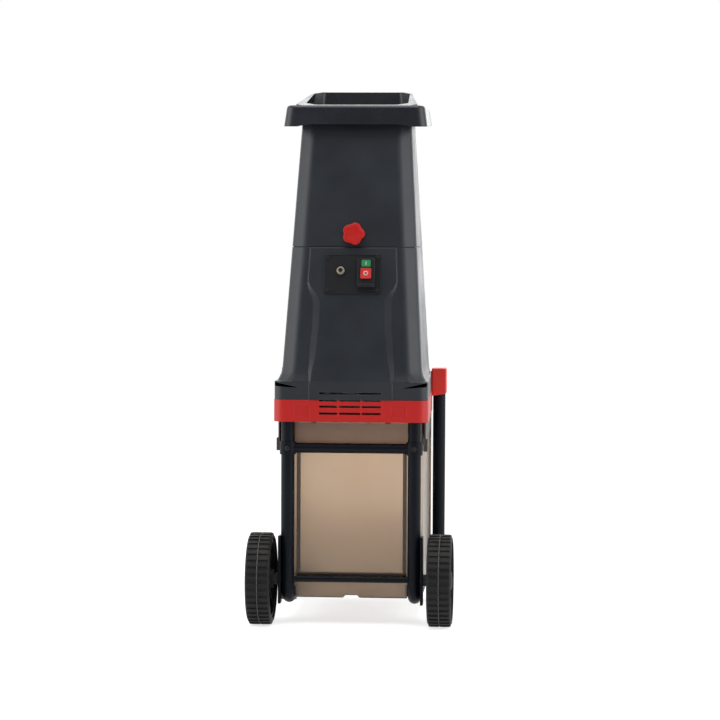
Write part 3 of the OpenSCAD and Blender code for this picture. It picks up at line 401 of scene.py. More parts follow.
def smoke(name, deep, pale, gloss):
    """A see-through finish whose tint drifts between two tones."""
    finishes[name], tree, shader = new_material(name)
    mottle = place_group(tree, mottle_group, Scale=9.0)["Tone"]
    height = add_node(tree, "ShaderNodeSeparateXYZ", {"Vector": object_place(tree)}).outputs["Z"]
    # The tint darkens towards the foot: painted shade
    rise = remap(tree, height, FOOT_Z, CLEAR_Z, interpolation_type="SMOOTHSTEP")
    tint = mix_colour(tree, mottle, deep, pale)
    tint = mix_colour(tree, rise, lighten(deep, FOOT_SHADE), tint)
    rough = remap(tree, mottle, 0.0, 1.0, *gloss)
    feed(tree, shader, {"Base Color": tint, "Roughness": rough,
                        "IOR": 1.49, "Transmission Weight": 1.0})


smoke("smoky_box", shade(205, 188, 170), shade(214, 199, 183), (0.28, 0.34))
# Painted shade: a darker tint for the bead along the near panel's step
smoke("smoky_bead_shade", shade(76, 58, 46), shade(86, 67, 53), (0.30, 0.40))
# Painted shadow: a darker tint for the second wall at the top of the box, under the tray
smoke("smoky_rim_shadow", shade(168, 153, 146), shade(176, 161, 154), (0.28, 0.38))

for part in frame["record"]["subparts"]:
    node = frame["nodes"][part["node"]]
    node.data.materials.clear()
    node.data.materials.append(finishes[part["material_slot"]])
frame["nodes"]["housing_screws"].data.materials[0] = finishes["steel_dull"]
print("finishes:", len(finishes), "given to", len(frame["nodes"]), "nodes")

# %% [markdown]
# ## Tools for modelling by hand
# The pieces below start as a primitive and are shaped in edit mode, as one would
# with the mouse. Without a mouse, faces and edges are picked in code by where they
# are or where they look. These helpers add a primitive with its size already applied,
# pick parts of it, shape what is picked, and at the end settle a piece on the body
# that carries it.

# %% Define the modelling helpers
UP, DOWN = (0, 0, 1), (0, 0, -1)
NEAR, FAR = (0, -1, 0), (0, 1, 0)
LEFT, RIGHT = (-1, 0, 0), (1, 0, 0)
# A face that is modelled flat on the bench looks up
OUT = UP


def mm(*sizes):
    """A place or a size in millimetres, as a vector in metres."""
    return Vector(sizes) * MM


def only(piece):
    """Make one object the selected and active one."""
    bpy.ops.object.select_all(action="DESELECT")
    piece.select_set(True)
    bpy.context.view_layer.objects.active = piece


def named(name):
    """The primitive just added, with its place applied and a name."""
    bpy.ops.object.transform_apply()
    bpy.context.object.name = name
    return bpy.context.object


def block(name, low, high):
    """A cube between two corners."""
    low, high = Vector(low), Vector(high)
    bpy.ops.mesh.primitive_cube_add(size=1, location=(low + high) / 2, scale=high - low)
    return named(name)


def slab(name, half, y0, y1, z0, z1):
    """A cube that reaches equally far to both sides of the machine's middle."""
    return block(name, (-half, y0, z0), (half, y1, z1))


def rod(name, start, end, radius, sides, fill="NGON"):
    """A cylinder from one point to another."""
    start, end = Vector(start), Vector(end)
    bpy.ops.mesh.primitive_cylinder_add(
        vertices=sides, radius=radius, depth=(end - start).length, end_fill_type=fill,
        location=(start + end) / 2, rotation=(end - start).to_track_quat("Z", "Y").to_euler())
    return named(name)


def edit():
    bpy.ops.object.mode_set(mode="EDIT")


def leave():
    bpy.ops.object.mode_set(mode="OBJECT")


def everything():
    bpy.ops.mesh.select_all(action="SELECT")


def pick(kind, *tests):
    """In edit mode, select the vertices, edges or faces that pass all tests, and count them."""
    bpy.ops.mesh.select_mode(type=kind)
    bpy.ops.mesh.select_all(action="DESELECT")
    form = bmesh.from_edit_mesh(bpy.context.object.data)
    items = {"VERT": form.verts, "EDGE": form.edges, "FACE": form.faces}[kind]
    found = [item for item in items if all(test(item) for test in tests)]
    for item in found:
        item.select_set(True)
    form.select_flush_mode()
    bmesh.update_edit_mesh(bpy.context.object.data)
    return len(found)


def facing(axis, least=0.9):
    """A test for faces that look along an axis."""
    return lambda face: face.normal.dot(Vector(axis)) > least


def along(axis, least=0.9):
    """A test for edges that run along an axis, either way."""
    def runs(edge):
        way = (edge.verts[1].co - edge.verts[0].co).normalized()
        return abs(way.dot(Vector(axis))) > least
    return runs


def corner(least=30, most=180):
    """A test for edges where two faces meet at an angle, in degrees."""
    return lambda edge: (len(edge.link_faces) == 2
                         and least < math.degrees(edge.calc_face_angle(0)) < most)


def ends(test):
    """A test for edges whose two ends both pass a test of their place."""
    return lambda edge: all(test(vertex.co) for vertex in edge.verts)


def beyond(axis, distance):
    """A test for edges that lie beyond a distance along an axis."""
    return ends(lambda place: place.dot(Vector(axis)) > distance)


def rim(edge):
    """A test for edges at an opening of the mesh."""
    return edge.is_boundary


def pick_face(axis):
    """Select the faces that look along an axis."""
    pick("FACE", facing(axis))


def close_to(value, target):
    """Whether a coordinate is at a place, to a tenth of a millimetre."""
    return abs(value - target) < 0.1 * MM


def roll(width, segments):
    """Round the selected edges."""
    bpy.ops.mesh.bevel(offset=width, segments=segments, affect="EDGES")


def roll_along(axis, width, segments):
    """Round the edges that run along an axis."""
    pick("EDGE", along(axis))
    roll(width, segments)


def roll_rim(axis, width, segments):
    """Round the outline of the face that looks along an axis."""
    pick_face(axis)
    bpy.ops.mesh.region_to_loop()
    roll(width, segments)


def round_off(piece, axis, sides=None, front=None):
    """Round a piece along an axis and round the face there, each by a width and segments."""
    only(piece)
    edit()
    if sides:
        roll_along(axis, *sides)
    if front:
        roll_rim(axis, *front)
    leave()
    return piece


def inset_face(width):
    bpy.ops.mesh.inset(thickness=width)


def shift(offset):
    bpy.ops.transform.translate(value=offset)


def stretch(x, y, z, **about):
    bpy.ops.transform.resize(value=(x, y, z), **about)


def terrace(axis, *steps):
    """Inset the selected face in steps, each by a width and a rise along an axis."""
    for width, rise in steps:
        inset_face(width)
        if rise:
            shift(Vector(axis) * rise)


def pull(offset):
    """Extrude the selected faces."""
    bpy.ops.mesh.extrude_region_move(TRANSFORM_OT_translate={"value": offset})


def slice_at(axis, places):
    """Cut the whole mesh across an axis at some places along it."""
    for place in places:
        everything()
        bpy.ops.mesh.bisect(plane_co=Vector(axis) * place, plane_no=axis)


def bridge():
    """Close the mesh between its open rims."""
    pick("EDGE", rim)
    bpy.ops.mesh.bridge_edge_loops()


def merge(distance):
    """Merge vertices that lie on each other."""
    everything()
    bpy.ops.mesh.remove_doubles(threshold=distance)


def modify(piece, kind, **settings):
    """Add a modifier, set it up and apply it."""
    only(piece)
    modifier = piece.modifiers.new(kind.lower(), kind)
    for key, value in settings.items():
        setattr(modifier, key, value)
    bpy.ops.object.modifier_apply(modifier=modifier.name)


def carve(piece, tool, operation="DIFFERENCE"):
    """Cut a piece with a tool, and drop the tool."""
    modify(piece, "BOOLEAN", object=tool, operation=operation, solver="EXACT")
    bpy.data.objects.remove(tool)


def weld(piece, other):
    """Weld another form to a piece."""
    carve(piece, other, "UNION")


def join(piece, *others):
    """Put several shells into one object."""
    only(piece)
    for other in others:
        other.select_set(True)
    bpy.ops.object.join()


def copy(piece, name):
    """A copy with a mesh of its own."""
    only(piece)
    bpy.ops.object.duplicate(linked=False)
    bpy.context.object.name = name
    return bpy.context.object


def carry(piece, matrix):
    """Carry a piece from the bench to its place."""
    piece.matrix_world = matrix @ piece.matrix_world


def settle(piece, body, slot, *nodes, at=None, smooth=35, recalc=True, finish=None):
    """Carry a finished piece to its place, and give it normals, shading, finish and its body."""
    only(piece)
    if at:
        carry(piece, at)
    bpy.ops.object.transform_apply()
    if recalc:
        edit()
        everything()
        bpy.ops.mesh.normals_make_consistent(inside=False)
        leave()
    bpy.ops.object.shade_smooth_by_angle(angle=math.radians(smooth))
    modify(piece, "WEIGHTED_NORMAL", keep_sharp=True)
    piece.data.materials.clear()
    piece.data.materials.append(finishes[finish or slot])
    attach(piece, body)
    if nodes:
        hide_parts(*nodes)
    print(piece.name, "rides on", body, "with", len(piece.data.polygons), "faces")


print("helpers ready")

# %% [markdown]
# ## Lower housing
# The housing leans in on all four sides, its upright corners are broad soft chamfers,
# and a raised panel with a waist runs down its near face and over the shoulder. A
# tapered block is quickly had from a cube: chamfer the upright edges, then draw the
# top vertices in by the lean of each side. The foot flares a little, so that the near
# face runs into the shoulder without a step. The raised panel is built flat on the
# bench, cut across into bands and drawn in band by band along a smooth curve. Blocks
# and wedges then cut the hollow, the long groove and the dark notches of the corners.

# %% Model the lower housing
NEAR_LEAN, SIDE_LEAN, FAR_LEAN = (math.radians(lean) for lean in (12.3, 3.3, 6.1))
BAND_TOP, TOWER_Z, SEAM_Z, HOPPER_Z = 429.5 * MM, 465 * MM, 717 * MM, 984 * MM
TOWER_HALF, TOWER_NEAR, TOWER_FAR = 134 * MM, -159.75 * MM, 180.25 * MM
CHAMFER, SOFT, WALL = 24 * MM, 8 * MM, 3 * MM
CHAMFER_SHRINK = 0.6
SEAM_GAP, SEAM_LIP = 0.5 * MM, 0.4 * MM
SHOULDER_NEAR, SHOULDER_FAR, SHOULDER_ROUND = 146, 135.5, 21 * MM
SHOULDER_OUT, SHOULDER_BACK = 0.6 * MM, 1.5 * MM


def tower_at(z, inset=0.0):
    """Half width, near and far depth of the leaning housing at a height."""
    rise = z - TOWER_Z
    return (TOWER_HALF - rise * math.tan(SIDE_LEAN) - inset,
            TOWER_NEAR + rise * math.tan(NEAR_LEAN) + inset,
            TOWER_FAR - rise * math.tan(FAR_LEAN) - inset)


def tower_block(name, z0, z1, inset=0.0, soft=0.0, lip=None):
    """A tapered block with chamfered corners, softened if asked, and one softened rim."""
    half, near, far = tower_at(z0, inset)
    top_half, top_near, top_far = tower_at(z1, inset)
    piece = slab(name, half, near, far, z0, z1)
    edit()
    roll_along(UP, CHAMFER - CHAMFER_SHRINK * inset, 1)
    for side, out in ((RIGHT, top_half - half), (LEFT, top_half - half),
                      (NEAR, near - top_near), (FAR, top_far - far)):
        pick("VERT", lambda v: v.co.z > (z0 + z1) / 2 and v.co.dot(Vector(side)) > 0)
        shift(Vector(side) * out)
    if soft:
        pick("EDGE", along(UP, 0.8), corner(30, 60))
        roll(soft, 5)
    if lip:
        roll_rim(lip, SEAM_LIP, 2)
    leave()
    return piece


def shoulder_block(name, inset, z0, z1):
    """The shoulder's outline as a block: wider at the near side, with round corners."""
    low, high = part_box("lower_housing")
    wider = SHOULDER_OUT - inset
    piece = block(name, (low.x - wider, low.y + SHOULDER_BACK + inset, z0),
                  (high.x + wider, high.y - inset, z1))
    edit()
    pick("VERT", lambda v: v.co.y > 0)
    stretch(SHOULDER_FAR / SHOULDER_NEAR, 1, 1, center_override=(0, 0, 0))
    roll_along(UP, SHOULDER_ROUND - inset, 8)
    if not inset:
        roll_rim(UP, 2.2 * MM, 4)
    leave()
    return piece


low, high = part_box("lower_housing")
shell = shoulder_block("housing_shell", 0, BAND_TOP, TOWER_Z)
tower = tower_block("tower", TOWER_Z - 1 * MM, SEAM_Z - SEAM_GAP, soft=SOFT, lip=UP)
# The flare, in millimetres: heights, and how far the near face, and the sides at their near and
# far ends, step out there
FLARE = ((464, 3.6, 8.0, 2.0), (474, 1.4, 2.8, 0.7), (482, 0.4, 0.9, 0.2), (492, 0, 0, 0))
edit()
slice_at(UP, [z * MM for z, *_ in FLARE[1:]])
for z, near_out, side_out, far_out in FLARE:
    for side in (-1, 1):
        for end, out in ((-1, side_out), (1, far_out)):
            pick("VERT", lambda v: (close_to(v.co.z, z * MM) and v.co.x * side > 90 * MM
                                    and v.co.y * end > 0))
            shift(mm(side * out, 0, 0))
    pick("VERT", lambda v: close_to(v.co.z, z * MM) and v.co.y < -120 * MM)
    shift(mm(0, -near_out, 0))
leave()
weld(shell, tower)

# The raised panel, in millimetres: half widths of its foot and its brow up the face
RISE, TUCK, BLANK_HALF = 256.5, 14, 80
FOOT = ((-TUCK, 83), (0, 83), (60, 79), (110, 75), (150, 75), (190, 86), (RISE, 83))
BROW = ((-TUCK, 78), (0, 75.5), (60, 66), (110, 62), (150, 61), (194, 84), (RISE, 81))
BANDS = (0, 20, 40, 60, 78, 94, 110, 124, 137, 150, 158, 166, 174, 182, 190, 202, 225)
LIFT, ROOT, APRON_LIFT, FOOT_LIFT = 4, 3, -1.45, 1.65


def swept(table, y):
    """A half width read off a table, along a smooth curve."""
    for (y0, w0), (y1, w1) in zip(table, table[1:]):
        if y <= y1:
            return w0 + (w1 - w0) * (1 - math.cos(math.pi * (y - y0) / (y1 - y0))) / 2
    return table[-1][1]


panel = block("panel", mm(-BLANK_HALF, -TUCK, -ROOT), mm(BLANK_HALF, RISE, LIFT))
edit()
slice_at(FAR, [y * MM for y in BANDS])
for y in (-TUCK,) + BANDS + (RISE,):
    foot, brow = swept(FOOT, y), swept(BROW, y)
    for level, width in ((-ROOT, foot + (foot - brow) * ROOT / LIFT), (LIFT, brow)):
        pick("VERT", lambda v: close_to(v.co.y, y * MM) and close_to(v.co.z, level * MM))
        stretch(width / BLANK_HALF, 1, 1, center_override=(0, 0, 0))
for y, lift in ((-TUCK, APRON_LIFT), (0, FOOT_LIFT)):
    pick("VERT", lambda v: close_to(v.co.y, y * MM) and v.co.z > 0)
    shift(mm(0, 0, lift))
tucked = beyond(NEAR, (TUCK - 1) * MM)
pick("EDGE", beyond(OUT, 0), corner(13), lambda e: not tucked(e))
roll(1.2 * MM, 2)
leave()
carry(panel, Matrix.Translation((0, TOWER_NEAR, TOWER_Z))
      @ Matrix.Rotation(math.pi / 2 - NEAR_LEAN, 4, "X"))
weld(shell, panel)
APRON_BACK, APRON_FRONT = FOOT[0][1], BROW[0][1]
apron = slab("apron", APRON_BACK * MM, low.y, low.y + 5 * MM, BAND_TOP, TOWER_Z - 3 * MM)
edit()
pick_face(NEAR)
stretch(APRON_FRONT / APRON_BACK, 1, 1)
leave()
weld(shell, apron)

# Hollow inside, then the long groove and a wedge-shaped notch at each near corner
carve(shell, tower_block("hollow", TOWER_Z - 10 * MM, SEAM_Z + 1 * MM, inset=WALL))
carve(shell, shoulder_block("hollow", WALL, BAND_TOP - 5 * MM, TOWER_Z - WALL))
GROOVE_HALF, GROOVE_LOW, GROOVE_HIGH = 59 * MM, 440.5 * MM, 444 * MM
carve(shell, slab("groove", GROOVE_HALF, low.y - 5 * MM, low.y + 12 * MM, GROOVE_LOW, GROOVE_HIGH))
WEDGE_IN, WEDGE_OUT, WEDGE_LONG, WEDGE_HALF = 28, 13.5, 40, 4
WEDGE_POINT, WEDGE_FALL, WEDGE_X, WEDGE_Z = 0.2, 3, 130 * MM, 459 * MM
for side in (-1, 1):
    wedge = block("wedge", mm(-WEDGE_IN, -WEDGE_LONG, -WEDGE_HALF),
                  mm(WEDGE_OUT, WEDGE_LONG, WEDGE_HALF))
    edit()
    pick("VERT", lambda v: v.co.x < 0)
    stretch(1, 1, WEDGE_POINT, center_override=mm(0, 0, -WEDGE_HALF))
    shift(mm(0, 0, -WEDGE_FALL))
    leave()
    wedge.scale.x = side
    wedge.location = (side * WEDGE_X, low.y + 2.5 * MM, WEDGE_Z)
    carve(shell, wedge)

# A tongue inside the seam, on which the hopper centres, keeps chips and light in
tongue = tower_block("tongue", SEAM_Z - 6 * MM, SEAM_Z - 0.8 * MM, inset=WALL - 0.5 * MM)
weld(tongue, tower_block("tongue_top", SEAM_Z - 2 * MM, SEAM_Z + 2.5 * MM, inset=WALL + 0.4 * MM))
carve(tongue, tower_block("hollow", SEAM_Z - 12 * MM, SEAM_Z + 6 * MM, inset=WALL + 2 * MM))
weld(shell, tongue)

# The hinge knuckles at the far side, and the block that holds the lock
HINGE_Y = tower_at(SEAM_Z)[2] + 7 * MM
KNUCKLE_R, TAB_DEPTH, TAB_HEIGHT = 6 * MM, 10 * MM, 22 * MM


def knuckles(piece, inner, outer, z0, z1):
    """Weld a pair of hinge knuckles on tabs to the far wall of a piece."""
    for x0, x1 in ((-outer, -inner), (inner, outer)):
        weld(piece, block("tab", (x0, HINGE_Y - TAB_DEPTH, z0), (x1, HINGE_Y, z1)))
        weld(piece, rod("knuckle", (x0, HINGE_Y, SEAM_Z), (x1, HINGE_Y, SEAM_Z), KNUCKLE_R, 40))


knuckles(shell, 40 * MM, 61.7 * MM, SEAM_Z - TAB_HEIGHT, SEAM_Z)
lock_low, lock_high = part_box("lock_plate")
LOCK_Z = SEAM_Z - 25 * MM
weld(shell, block("lock_block", (lock_low.x, tower_at(LOCK_Z)[1] + 2 * MM, LOCK_Z),
                  (lock_high.x, lock_low.y, SEAM_Z - 7 * MM)))
edit()
merge(0.01 * MM)
leave()
settle(shell, "frame", "housing_grey", "lower_housing", recalc=False, smooth=13)

# %% [markdown]
# ## Hopper
# The hopper carries the same leaning faces on upwards, so it comes from the same
# tapered block. A second block, smaller by the wall, hollows it from end to end. It
# keeps its half of the hinge, the boss behind the knob and the magnet's holder.

# %% Model the hopper
hopper = tower_block("feed_hopper", SEAM_Z + SEAM_GAP, HOPPER_Z, soft=SOFT, lip=DOWN)
carve(hopper, tower_block("hollow", SEAM_Z - 20 * MM, HOPPER_Z + 20 * MM, inset=WALL))
knuckles(hopper, 18 * MM, 39.5 * MM, SEAM_Z + SEAM_GAP, SEAM_Z + TAB_HEIGHT)
KNOB_Z, BOSS_R, BOSS_DEPTH = 742 * MM, 13 * MM, 17 * MM
boss_near = tower_at(KNOB_Z)[1] - 6 * MM
boss = rod("boss", (0, boss_near + BOSS_DEPTH, KNOB_Z), (0, boss_near, KNOB_Z), BOSS_R, 48)
weld(hopper, round_off(boss, NEAR, front=(1.5 * MM, 3)))
HOLDER_LOW, HOLDER_HIGH = 723 * MM, 731 * MM
holder_near = tower_at(HOLDER_LOW)[1]
weld(hopper, block("holder", (-36 * MM, holder_near + 1.5 * MM, HOLDER_LOW),
                   (-18 * MM, holder_near + 15 * MM, HOLDER_HIGH)))
settle(hopper, "hopper", "housing_grey", "hopper", recalc=False)

# %% [markdown]
# ## Hopper collar
# The feed opening ends in a heavy collar: a skirt that flares downwards, with a
# generous roll along its upper edge, and a tall lip at the far side whose wings
# slope down to the near rim. A lathe or a sweep can't make it, because it is
# neither round nor even. So the skirt is a cube with rolled corners and a drawn-in
# top, the lip is a second cube bisected along the slope, and a tapered third one
# cuts the mouth through both. The skirt's lower edge rises to the far side, so that
# it doesn't show under the near one, and that one is arched between its corners.

# %% Model the hopper collar
SKIRT_WALL, SKIRT_HEIGHT = 3 * MM, 36 * MM
SKIRT_WIDER, SKIRT_DROP, SKIRT_RISE = 4.5 * MM, 5 * MM, 10 * MM
DRAW_X, DRAW_Y = 11 * MM, 12 * MM
low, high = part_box("hopper_collar")
RIM_Z = low.z + SKIRT_HEIGHT
skirt_low = low - Vector((SKIRT_WIDER, 2 * MM, SKIRT_DROP))
skirt_high = Vector((high.x + SKIRT_WIDER, high.y, RIM_Z))
skirt = skirt_high - skirt_low
draw_x, draw_y = 1 - DRAW_X / skirt.x, 1 - DRAW_Y / skirt.y
collar = block("collar", skirt_low, skirt_high)
edit()
pick("VERT", lambda v: v.co.z < RIM_Z - 10 * MM and v.co.y > 0)
shift((0, 0, SKIRT_RISE))
roll_along(UP, 20 * MM, 8)
pick_face(UP)
stretch(draw_x, draw_y, 1)
roll_rim(UP, 5.5 * MM, 6)
pick_face(DOWN)
inset_face(SKIRT_WALL)
pull((0, 0, skirt.z - SKIRT_RISE / 2 - 4 * MM))
stretch(draw_x, draw_y, 0)
SKIRT_FOOT = skirt_low.z + SKIRT_RISE + 1 * MM
pick("FACE", facing(DOWN), lambda f: f.calc_center_median().z < SKIRT_FOOT)
bpy.ops.mesh.region_to_loop()
roll(1.1 * MM, 3)
leave()

# The arch of the near edge: a block with a narrower, rounded top cuts it
ARCH_FOOT, ARCH_TOP = 128 * MM, 92 * MM
arch = slab("arch", ARCH_FOOT, skirt_low.y - 5 * MM, skirt_low.y + 26 * MM,
            skirt_low.z - 5 * MM, low.z)
edit()
pick_face(UP)
stretch(ARCH_TOP / ARCH_FOOT, 1, 1)
pick("EDGE", along(FAR), beyond(UP, low.z - 1 * MM))
roll(12 * MM, 4)
leave()
carve(collar, arch)

# The lip: a tapered block with chamfered corners, cut along the slope of its wings
LIP_FOOT, LIP_TOP, LIP_DEPTH = 119.5 * MM, 96 * MM, 0.90
WING_SLOPE = math.radians(10.55)
lip = slab("lip", LIP_FOOT, low.y + 14 * MM, high.y - 10 * MM, RIM_Z - 2 * MM, high.z)
edit()
roll_along(UP, CHAMFER, 1)
pick_face(UP)
stretch(LIP_TOP / LIP_FOOT, LIP_DEPTH, 1)
shift(mm(0, 2, 0))
pick("EDGE", corner())
roll(2 * MM, 2)
everything()
bpy.ops.mesh.bisect(plane_co=(0, low.y + 20.5 * MM, RIM_Z),
                    plane_no=(0, -math.sin(WING_SLOPE), math.cos(WING_SLOPE)),
                    use_fill=True, clear_outer=True)
leave()
weld(collar, lip)

# The mouth: a tapered cutter through both, with its twisted walls split to triangles
MOUTH_HALF, MOUTH_NEAR, MOUTH_FAR = 101.1 * MM, -43.7 * MM, 121.9 * MM
MOUTH_NARROWS, MOUTH_DEEPENS = 0.925, 1.11
mouth = slab("mouth", MOUTH_HALF, MOUTH_NEAR, MOUTH_FAR, RIM_Z - 9 * MM, high.z + 2 * MM)
edit()
roll_along(UP, 22 * MM, 1)
pick("EDGE", along(UP, 0.8))
roll(5 * MM, 3)
pick_face(UP)
stretch(MOUTH_NARROWS, MOUTH_DEEPENS, 1)
everything()
bpy.ops.mesh.quads_convert_to_tris()
leave()
carve(collar, mouth)
settle(collar, "hopper", "collar_grey", "hopper_collar", recalc=False)

# %% [markdown]
# ## Star knob
# A red five-lobed knob locks the hopper. Its lobes are round and its hollows
# shallow, so a gear-like outline would look wrong. A twenty-sided prism whose edges
# are drawn in towards each hollow has the right cage, and a subdivision surface
# rounds it. The cap in the middle comes from an inset before the rounding.

# %% Model the star knob
low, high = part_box("star_knob")
centre = (low + high) / 2
LOBES = 5
# The subdivision surface draws the cage in, so the cage starts larger than the knob
KNOB_R, CAGE_GROWTH = 20.5 * MM, 1.08
CAGE = (1.0, 0.97, 0.80, 0.97)
STEP = 2 * math.pi / (len(CAGE) * LOBES)
knob = rod("star_knob_rounded", (centre.x, high.y - 0.5 * MM, centre.z),
           (centre.x, low.y + 0.5 * MM, centre.z), KNOB_R * CAGE_GROWTH, len(CAGE) * LOBES)


def cage_step(point):
    """Which edge of the cage a point belongs to, counted from a lobe."""
    return round(math.atan2(point.z - centre.z, point.x - centre.x) / STEP) % len(CAGE)


edit()
for step, shrink in enumerate(CAGE):
    pick("VERT", lambda v: cage_step(v.co) == step)
    stretch(shrink, 1, shrink, center_override=centre)
pick_face(NEAR)
terrace(NEAR, (1.6 * MM, 0), (4.0 * MM, -1.2 * MM), (2.0 * MM, 0.9 * MM))
pick_face(FAR)
inset_face(1.5 * MM)
leave()
modify(knob, "SUBSURF", levels=3, render_levels=3)
settle(knob, "knob", "red_plastic", "star_knob")

# %% [markdown]
# ## Control plate
# The plate on the leaning face is easier to model lying flat and then stood up, as
# one would build it on a bench. Here X is across the face, Y up it and Z out of it,
# and one matrix carries every piece of the panel to its place. The plate itself is a
# cube with rolled corners, a softened rim and a field that lies a little lower.

# %% Model the control plate and its screws
PLATE_BACK, PLATE_FRONT = 4 * MM, 7 * MM
PLATE_HALF, SCREW_X, SCREW_Y = mm(53.5, 38, 0), 47.5, 32
low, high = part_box("control_plate")
ON_FACE = (Matrix.Translation((low + high) / 2)
           @ Matrix.Rotation(math.pi / 2 - NEAR_LEAN, 4, "X")
           @ Matrix.Translation((0, 0, -(PLATE_BACK + PLATE_FRONT) / 2)))
BENCH = Vector((0, 0, 0))


def block_at(name, place, half, z0, z1):
    """A block about a place on the bench, with its half sizes, between two heights."""
    return block(name, place - half + Vector((0, 0, z0)), place + half + Vector((0, 0, z1)))


def post(name, place, z0, z1, radius, sides):
    """A rod that stands on the bench at a place, between two heights."""
    return rod(name, place + Vector((0, 0, z0)), place + Vector((0, 0, z1)), radius, sides)


plate = block_at("panel_plate", BENCH, PLATE_HALF, PLATE_BACK, PLATE_FRONT)
round_off(plate, OUT, (4 * MM, 6), (0.8 * MM, 3))
edit()
pick_face(OUT)
terrace(OUT, (1.6 * MM, 0), (0.4 * MM, -0.4 * MM))
leave()
settle(plate, "frame", "plate_black", "control_plate", at=ON_FACE)

# One pan-head screw, with a cross recess, copied to the four corners
screw = post("plate_screw_heads", BENCH, PLATE_BACK, PLATE_FRONT + 1.8 * MM, 3.4 * MM, 32)
round_off(screw, OUT, front=(1.1 * MM, 4))
for half in (mm(2.0, 0.5, 0), mm(0.5, 2.0, 0)):
    carve(screw, block_at("cross", BENCH, half, PLATE_FRONT + 0.6 * MM, PLATE_FRONT + 4 * MM))
heads = [screw] + [copy(screw, "plate_screw") for _ in range(3)]
for head, (x, y) in zip(heads, ((-1, -1), (1, 1), (-1, 1), (1, -1))):
    head.location = mm(x * SCREW_X, y * SCREW_Y, 0)
    only(head)
    bpy.ops.object.transform_apply()
join(*heads)
settle(screw, "frame", "screw_black", "plate_screws", at=ON_FACE, recalc=False)

# %% [markdown]
# ## Start and stop switch
# The switch is a moulded block with two wells. The green start key lies nearly flush,
# the red stop key stands proud, and a lip under it keeps a stray hand off. The wells
# are cut with plain blocks, and the keys are cubes with rolled edges and a dished
# face. The marks are the usual bar and ring, as thin white inlays.

# %% Model the switch and its keys
SWITCH_FRONT = 16 * MM
SWITCH_AT, SWITCH_HALF = mm(26, 1, 0), mm(16.5, 28, 0)
START_AT, START_HALF = mm(26, 18.5, 0), mm(8.5, 6.5, 0)
STOP_AT, STOP_HALF = mm(26, -1, 0), mm(10, 10, 0)
GUARD_AT, GUARD_HALF = mm(26, -23.75, 0), mm(13.5, 3.25, 0)
REAR_HALF = mm(13.4, 23.9, 0)
PLAY = mm(0.4, 0.4, 0)
switch = block_at("switch_body", SWITCH_AT, SWITCH_HALF, PLATE_FRONT - 1 * MM, SWITCH_FRONT)
round_off(switch, OUT, (3.5 * MM, 6), (1.6 * MM, 4))
for place, half in ((START_AT, START_HALF), (STOP_AT, STOP_HALF)):
    well = block_at("well", place, half + PLAY, SWITCH_FRONT - 6 * MM, SWITCH_FRONT + 5 * MM)
    carve(switch, well)
guard = block_at("guard", GUARD_AT, GUARD_HALF, SWITCH_FRONT - 2 * MM, SWITCH_FRONT + 3 * MM)
edit()
pick("EDGE", corner())
roll(1.5 * MM, 3)
leave()
rear = block_at("rear", SWITCH_AT, REAR_HALF, -30 * MM, PLATE_FRONT)
join(switch, guard, round_off(rear, OUT, (1.5 * MM, 2)))
settle(switch, "frame", "plate_black", "switch_housing", at=ON_FACE, recalc=False)


def push_key(name, place, half, top, dish):
    """A push key with rolled edges and a dished face."""
    piece = block_at(name, place, half, SWITCH_FRONT - 2.7 * MM, SWITCH_FRONT + top)
    round_off(piece, OUT, (1.8 * MM, 4), (0.9 * MM, 3))
    edit()
    pick_face(OUT)
    terrace(OUT, (1.0 * MM, 0), (1.2 * MM, -dish))
    leave()
    return piece


start_key = push_key("start_key", START_AT, START_HALF, 2.5 * MM, 0.4 * MM)
settle(start_key, "start", "start_green", "start_button", at=ON_FACE)
stop_key = push_key("stop_key", STOP_AT, STOP_HALF, 5.0 * MM, 0.5 * MM)
settle(stop_key, "stop", "stop_red", "stop_button", at=ON_FACE)

bar = block_at("start_mark", START_AT, mm(0.7, 3.2, 0),
               SWITCH_FRONT + 1.6 * MM, SWITCH_FRONT + 2.3 * MM)
settle(round_off(bar, OUT, (0.4 * MM, 2)), "start", "white_plastic", at=ON_FACE)

ring = post("stop_mark", STOP_AT, SWITCH_FRONT + 4.0 * MM, SWITCH_FRONT + 4.7 * MM, 4.2 * MM, 40)
carve(ring, post("hole", STOP_AT, 0, 30 * MM, 2.9 * MM, 40))
settle(ring, "stop", "white_plastic", at=ON_FACE, recalc=False)

# %% [markdown]
# ## Reset button
# Left of the switch a nickel nut clamps the overload button, whose dark cap shows in
# its bore. All of it is turned work, so a cylinder is stepped inwards: inset, lift,
# inset, sink.

# %% Model the reset nut and button
RESET_AT = mm(-22.5, 6, 0)
nut = post("reset_ring", RESET_AT, PLATE_FRONT - 2 * MM, 10.5 * MM, 7.5 * MM, 48)
edit()
pick_face(OUT)
inset_face(2 * MM)
pull(mm(0, 0, 3.5))
inset_face(1.4 * MM)
pull(mm(0, 0, -7))
pick("EDGE", corner(), beyond(OUT, PLATE_FRONT + 1 * MM))
roll(0.6 * MM, 3)
leave()
settle(nut, "frame", "chrome_ring", "reset_nut", at=ON_FACE, recalc=False)

cap = post("reset_cap", RESET_AT, -8.7 * MM, 14.8 * MM, 4 * MM, 40)
round_off(cap, OUT, front=(1.4 * MM, 4))
settle(cap, "reset", "plate_black", "reset_button", at=ON_FACE)

# %% [markdown]
# ## Tyres
# The wheels are hard black plastic with two rows of shallow bars, a thin seam between
# the rows and scalloped shoulders. The tread starts as an open cylinder with twice as
# many sides as a row has bars. Planes cut it into rows, every second face of a row is
# inset and lifted to a bar, and the open ends are drawn in to the rim and bridged. A
# thin paler ring stands for the flash that the mould leaves at the seam.

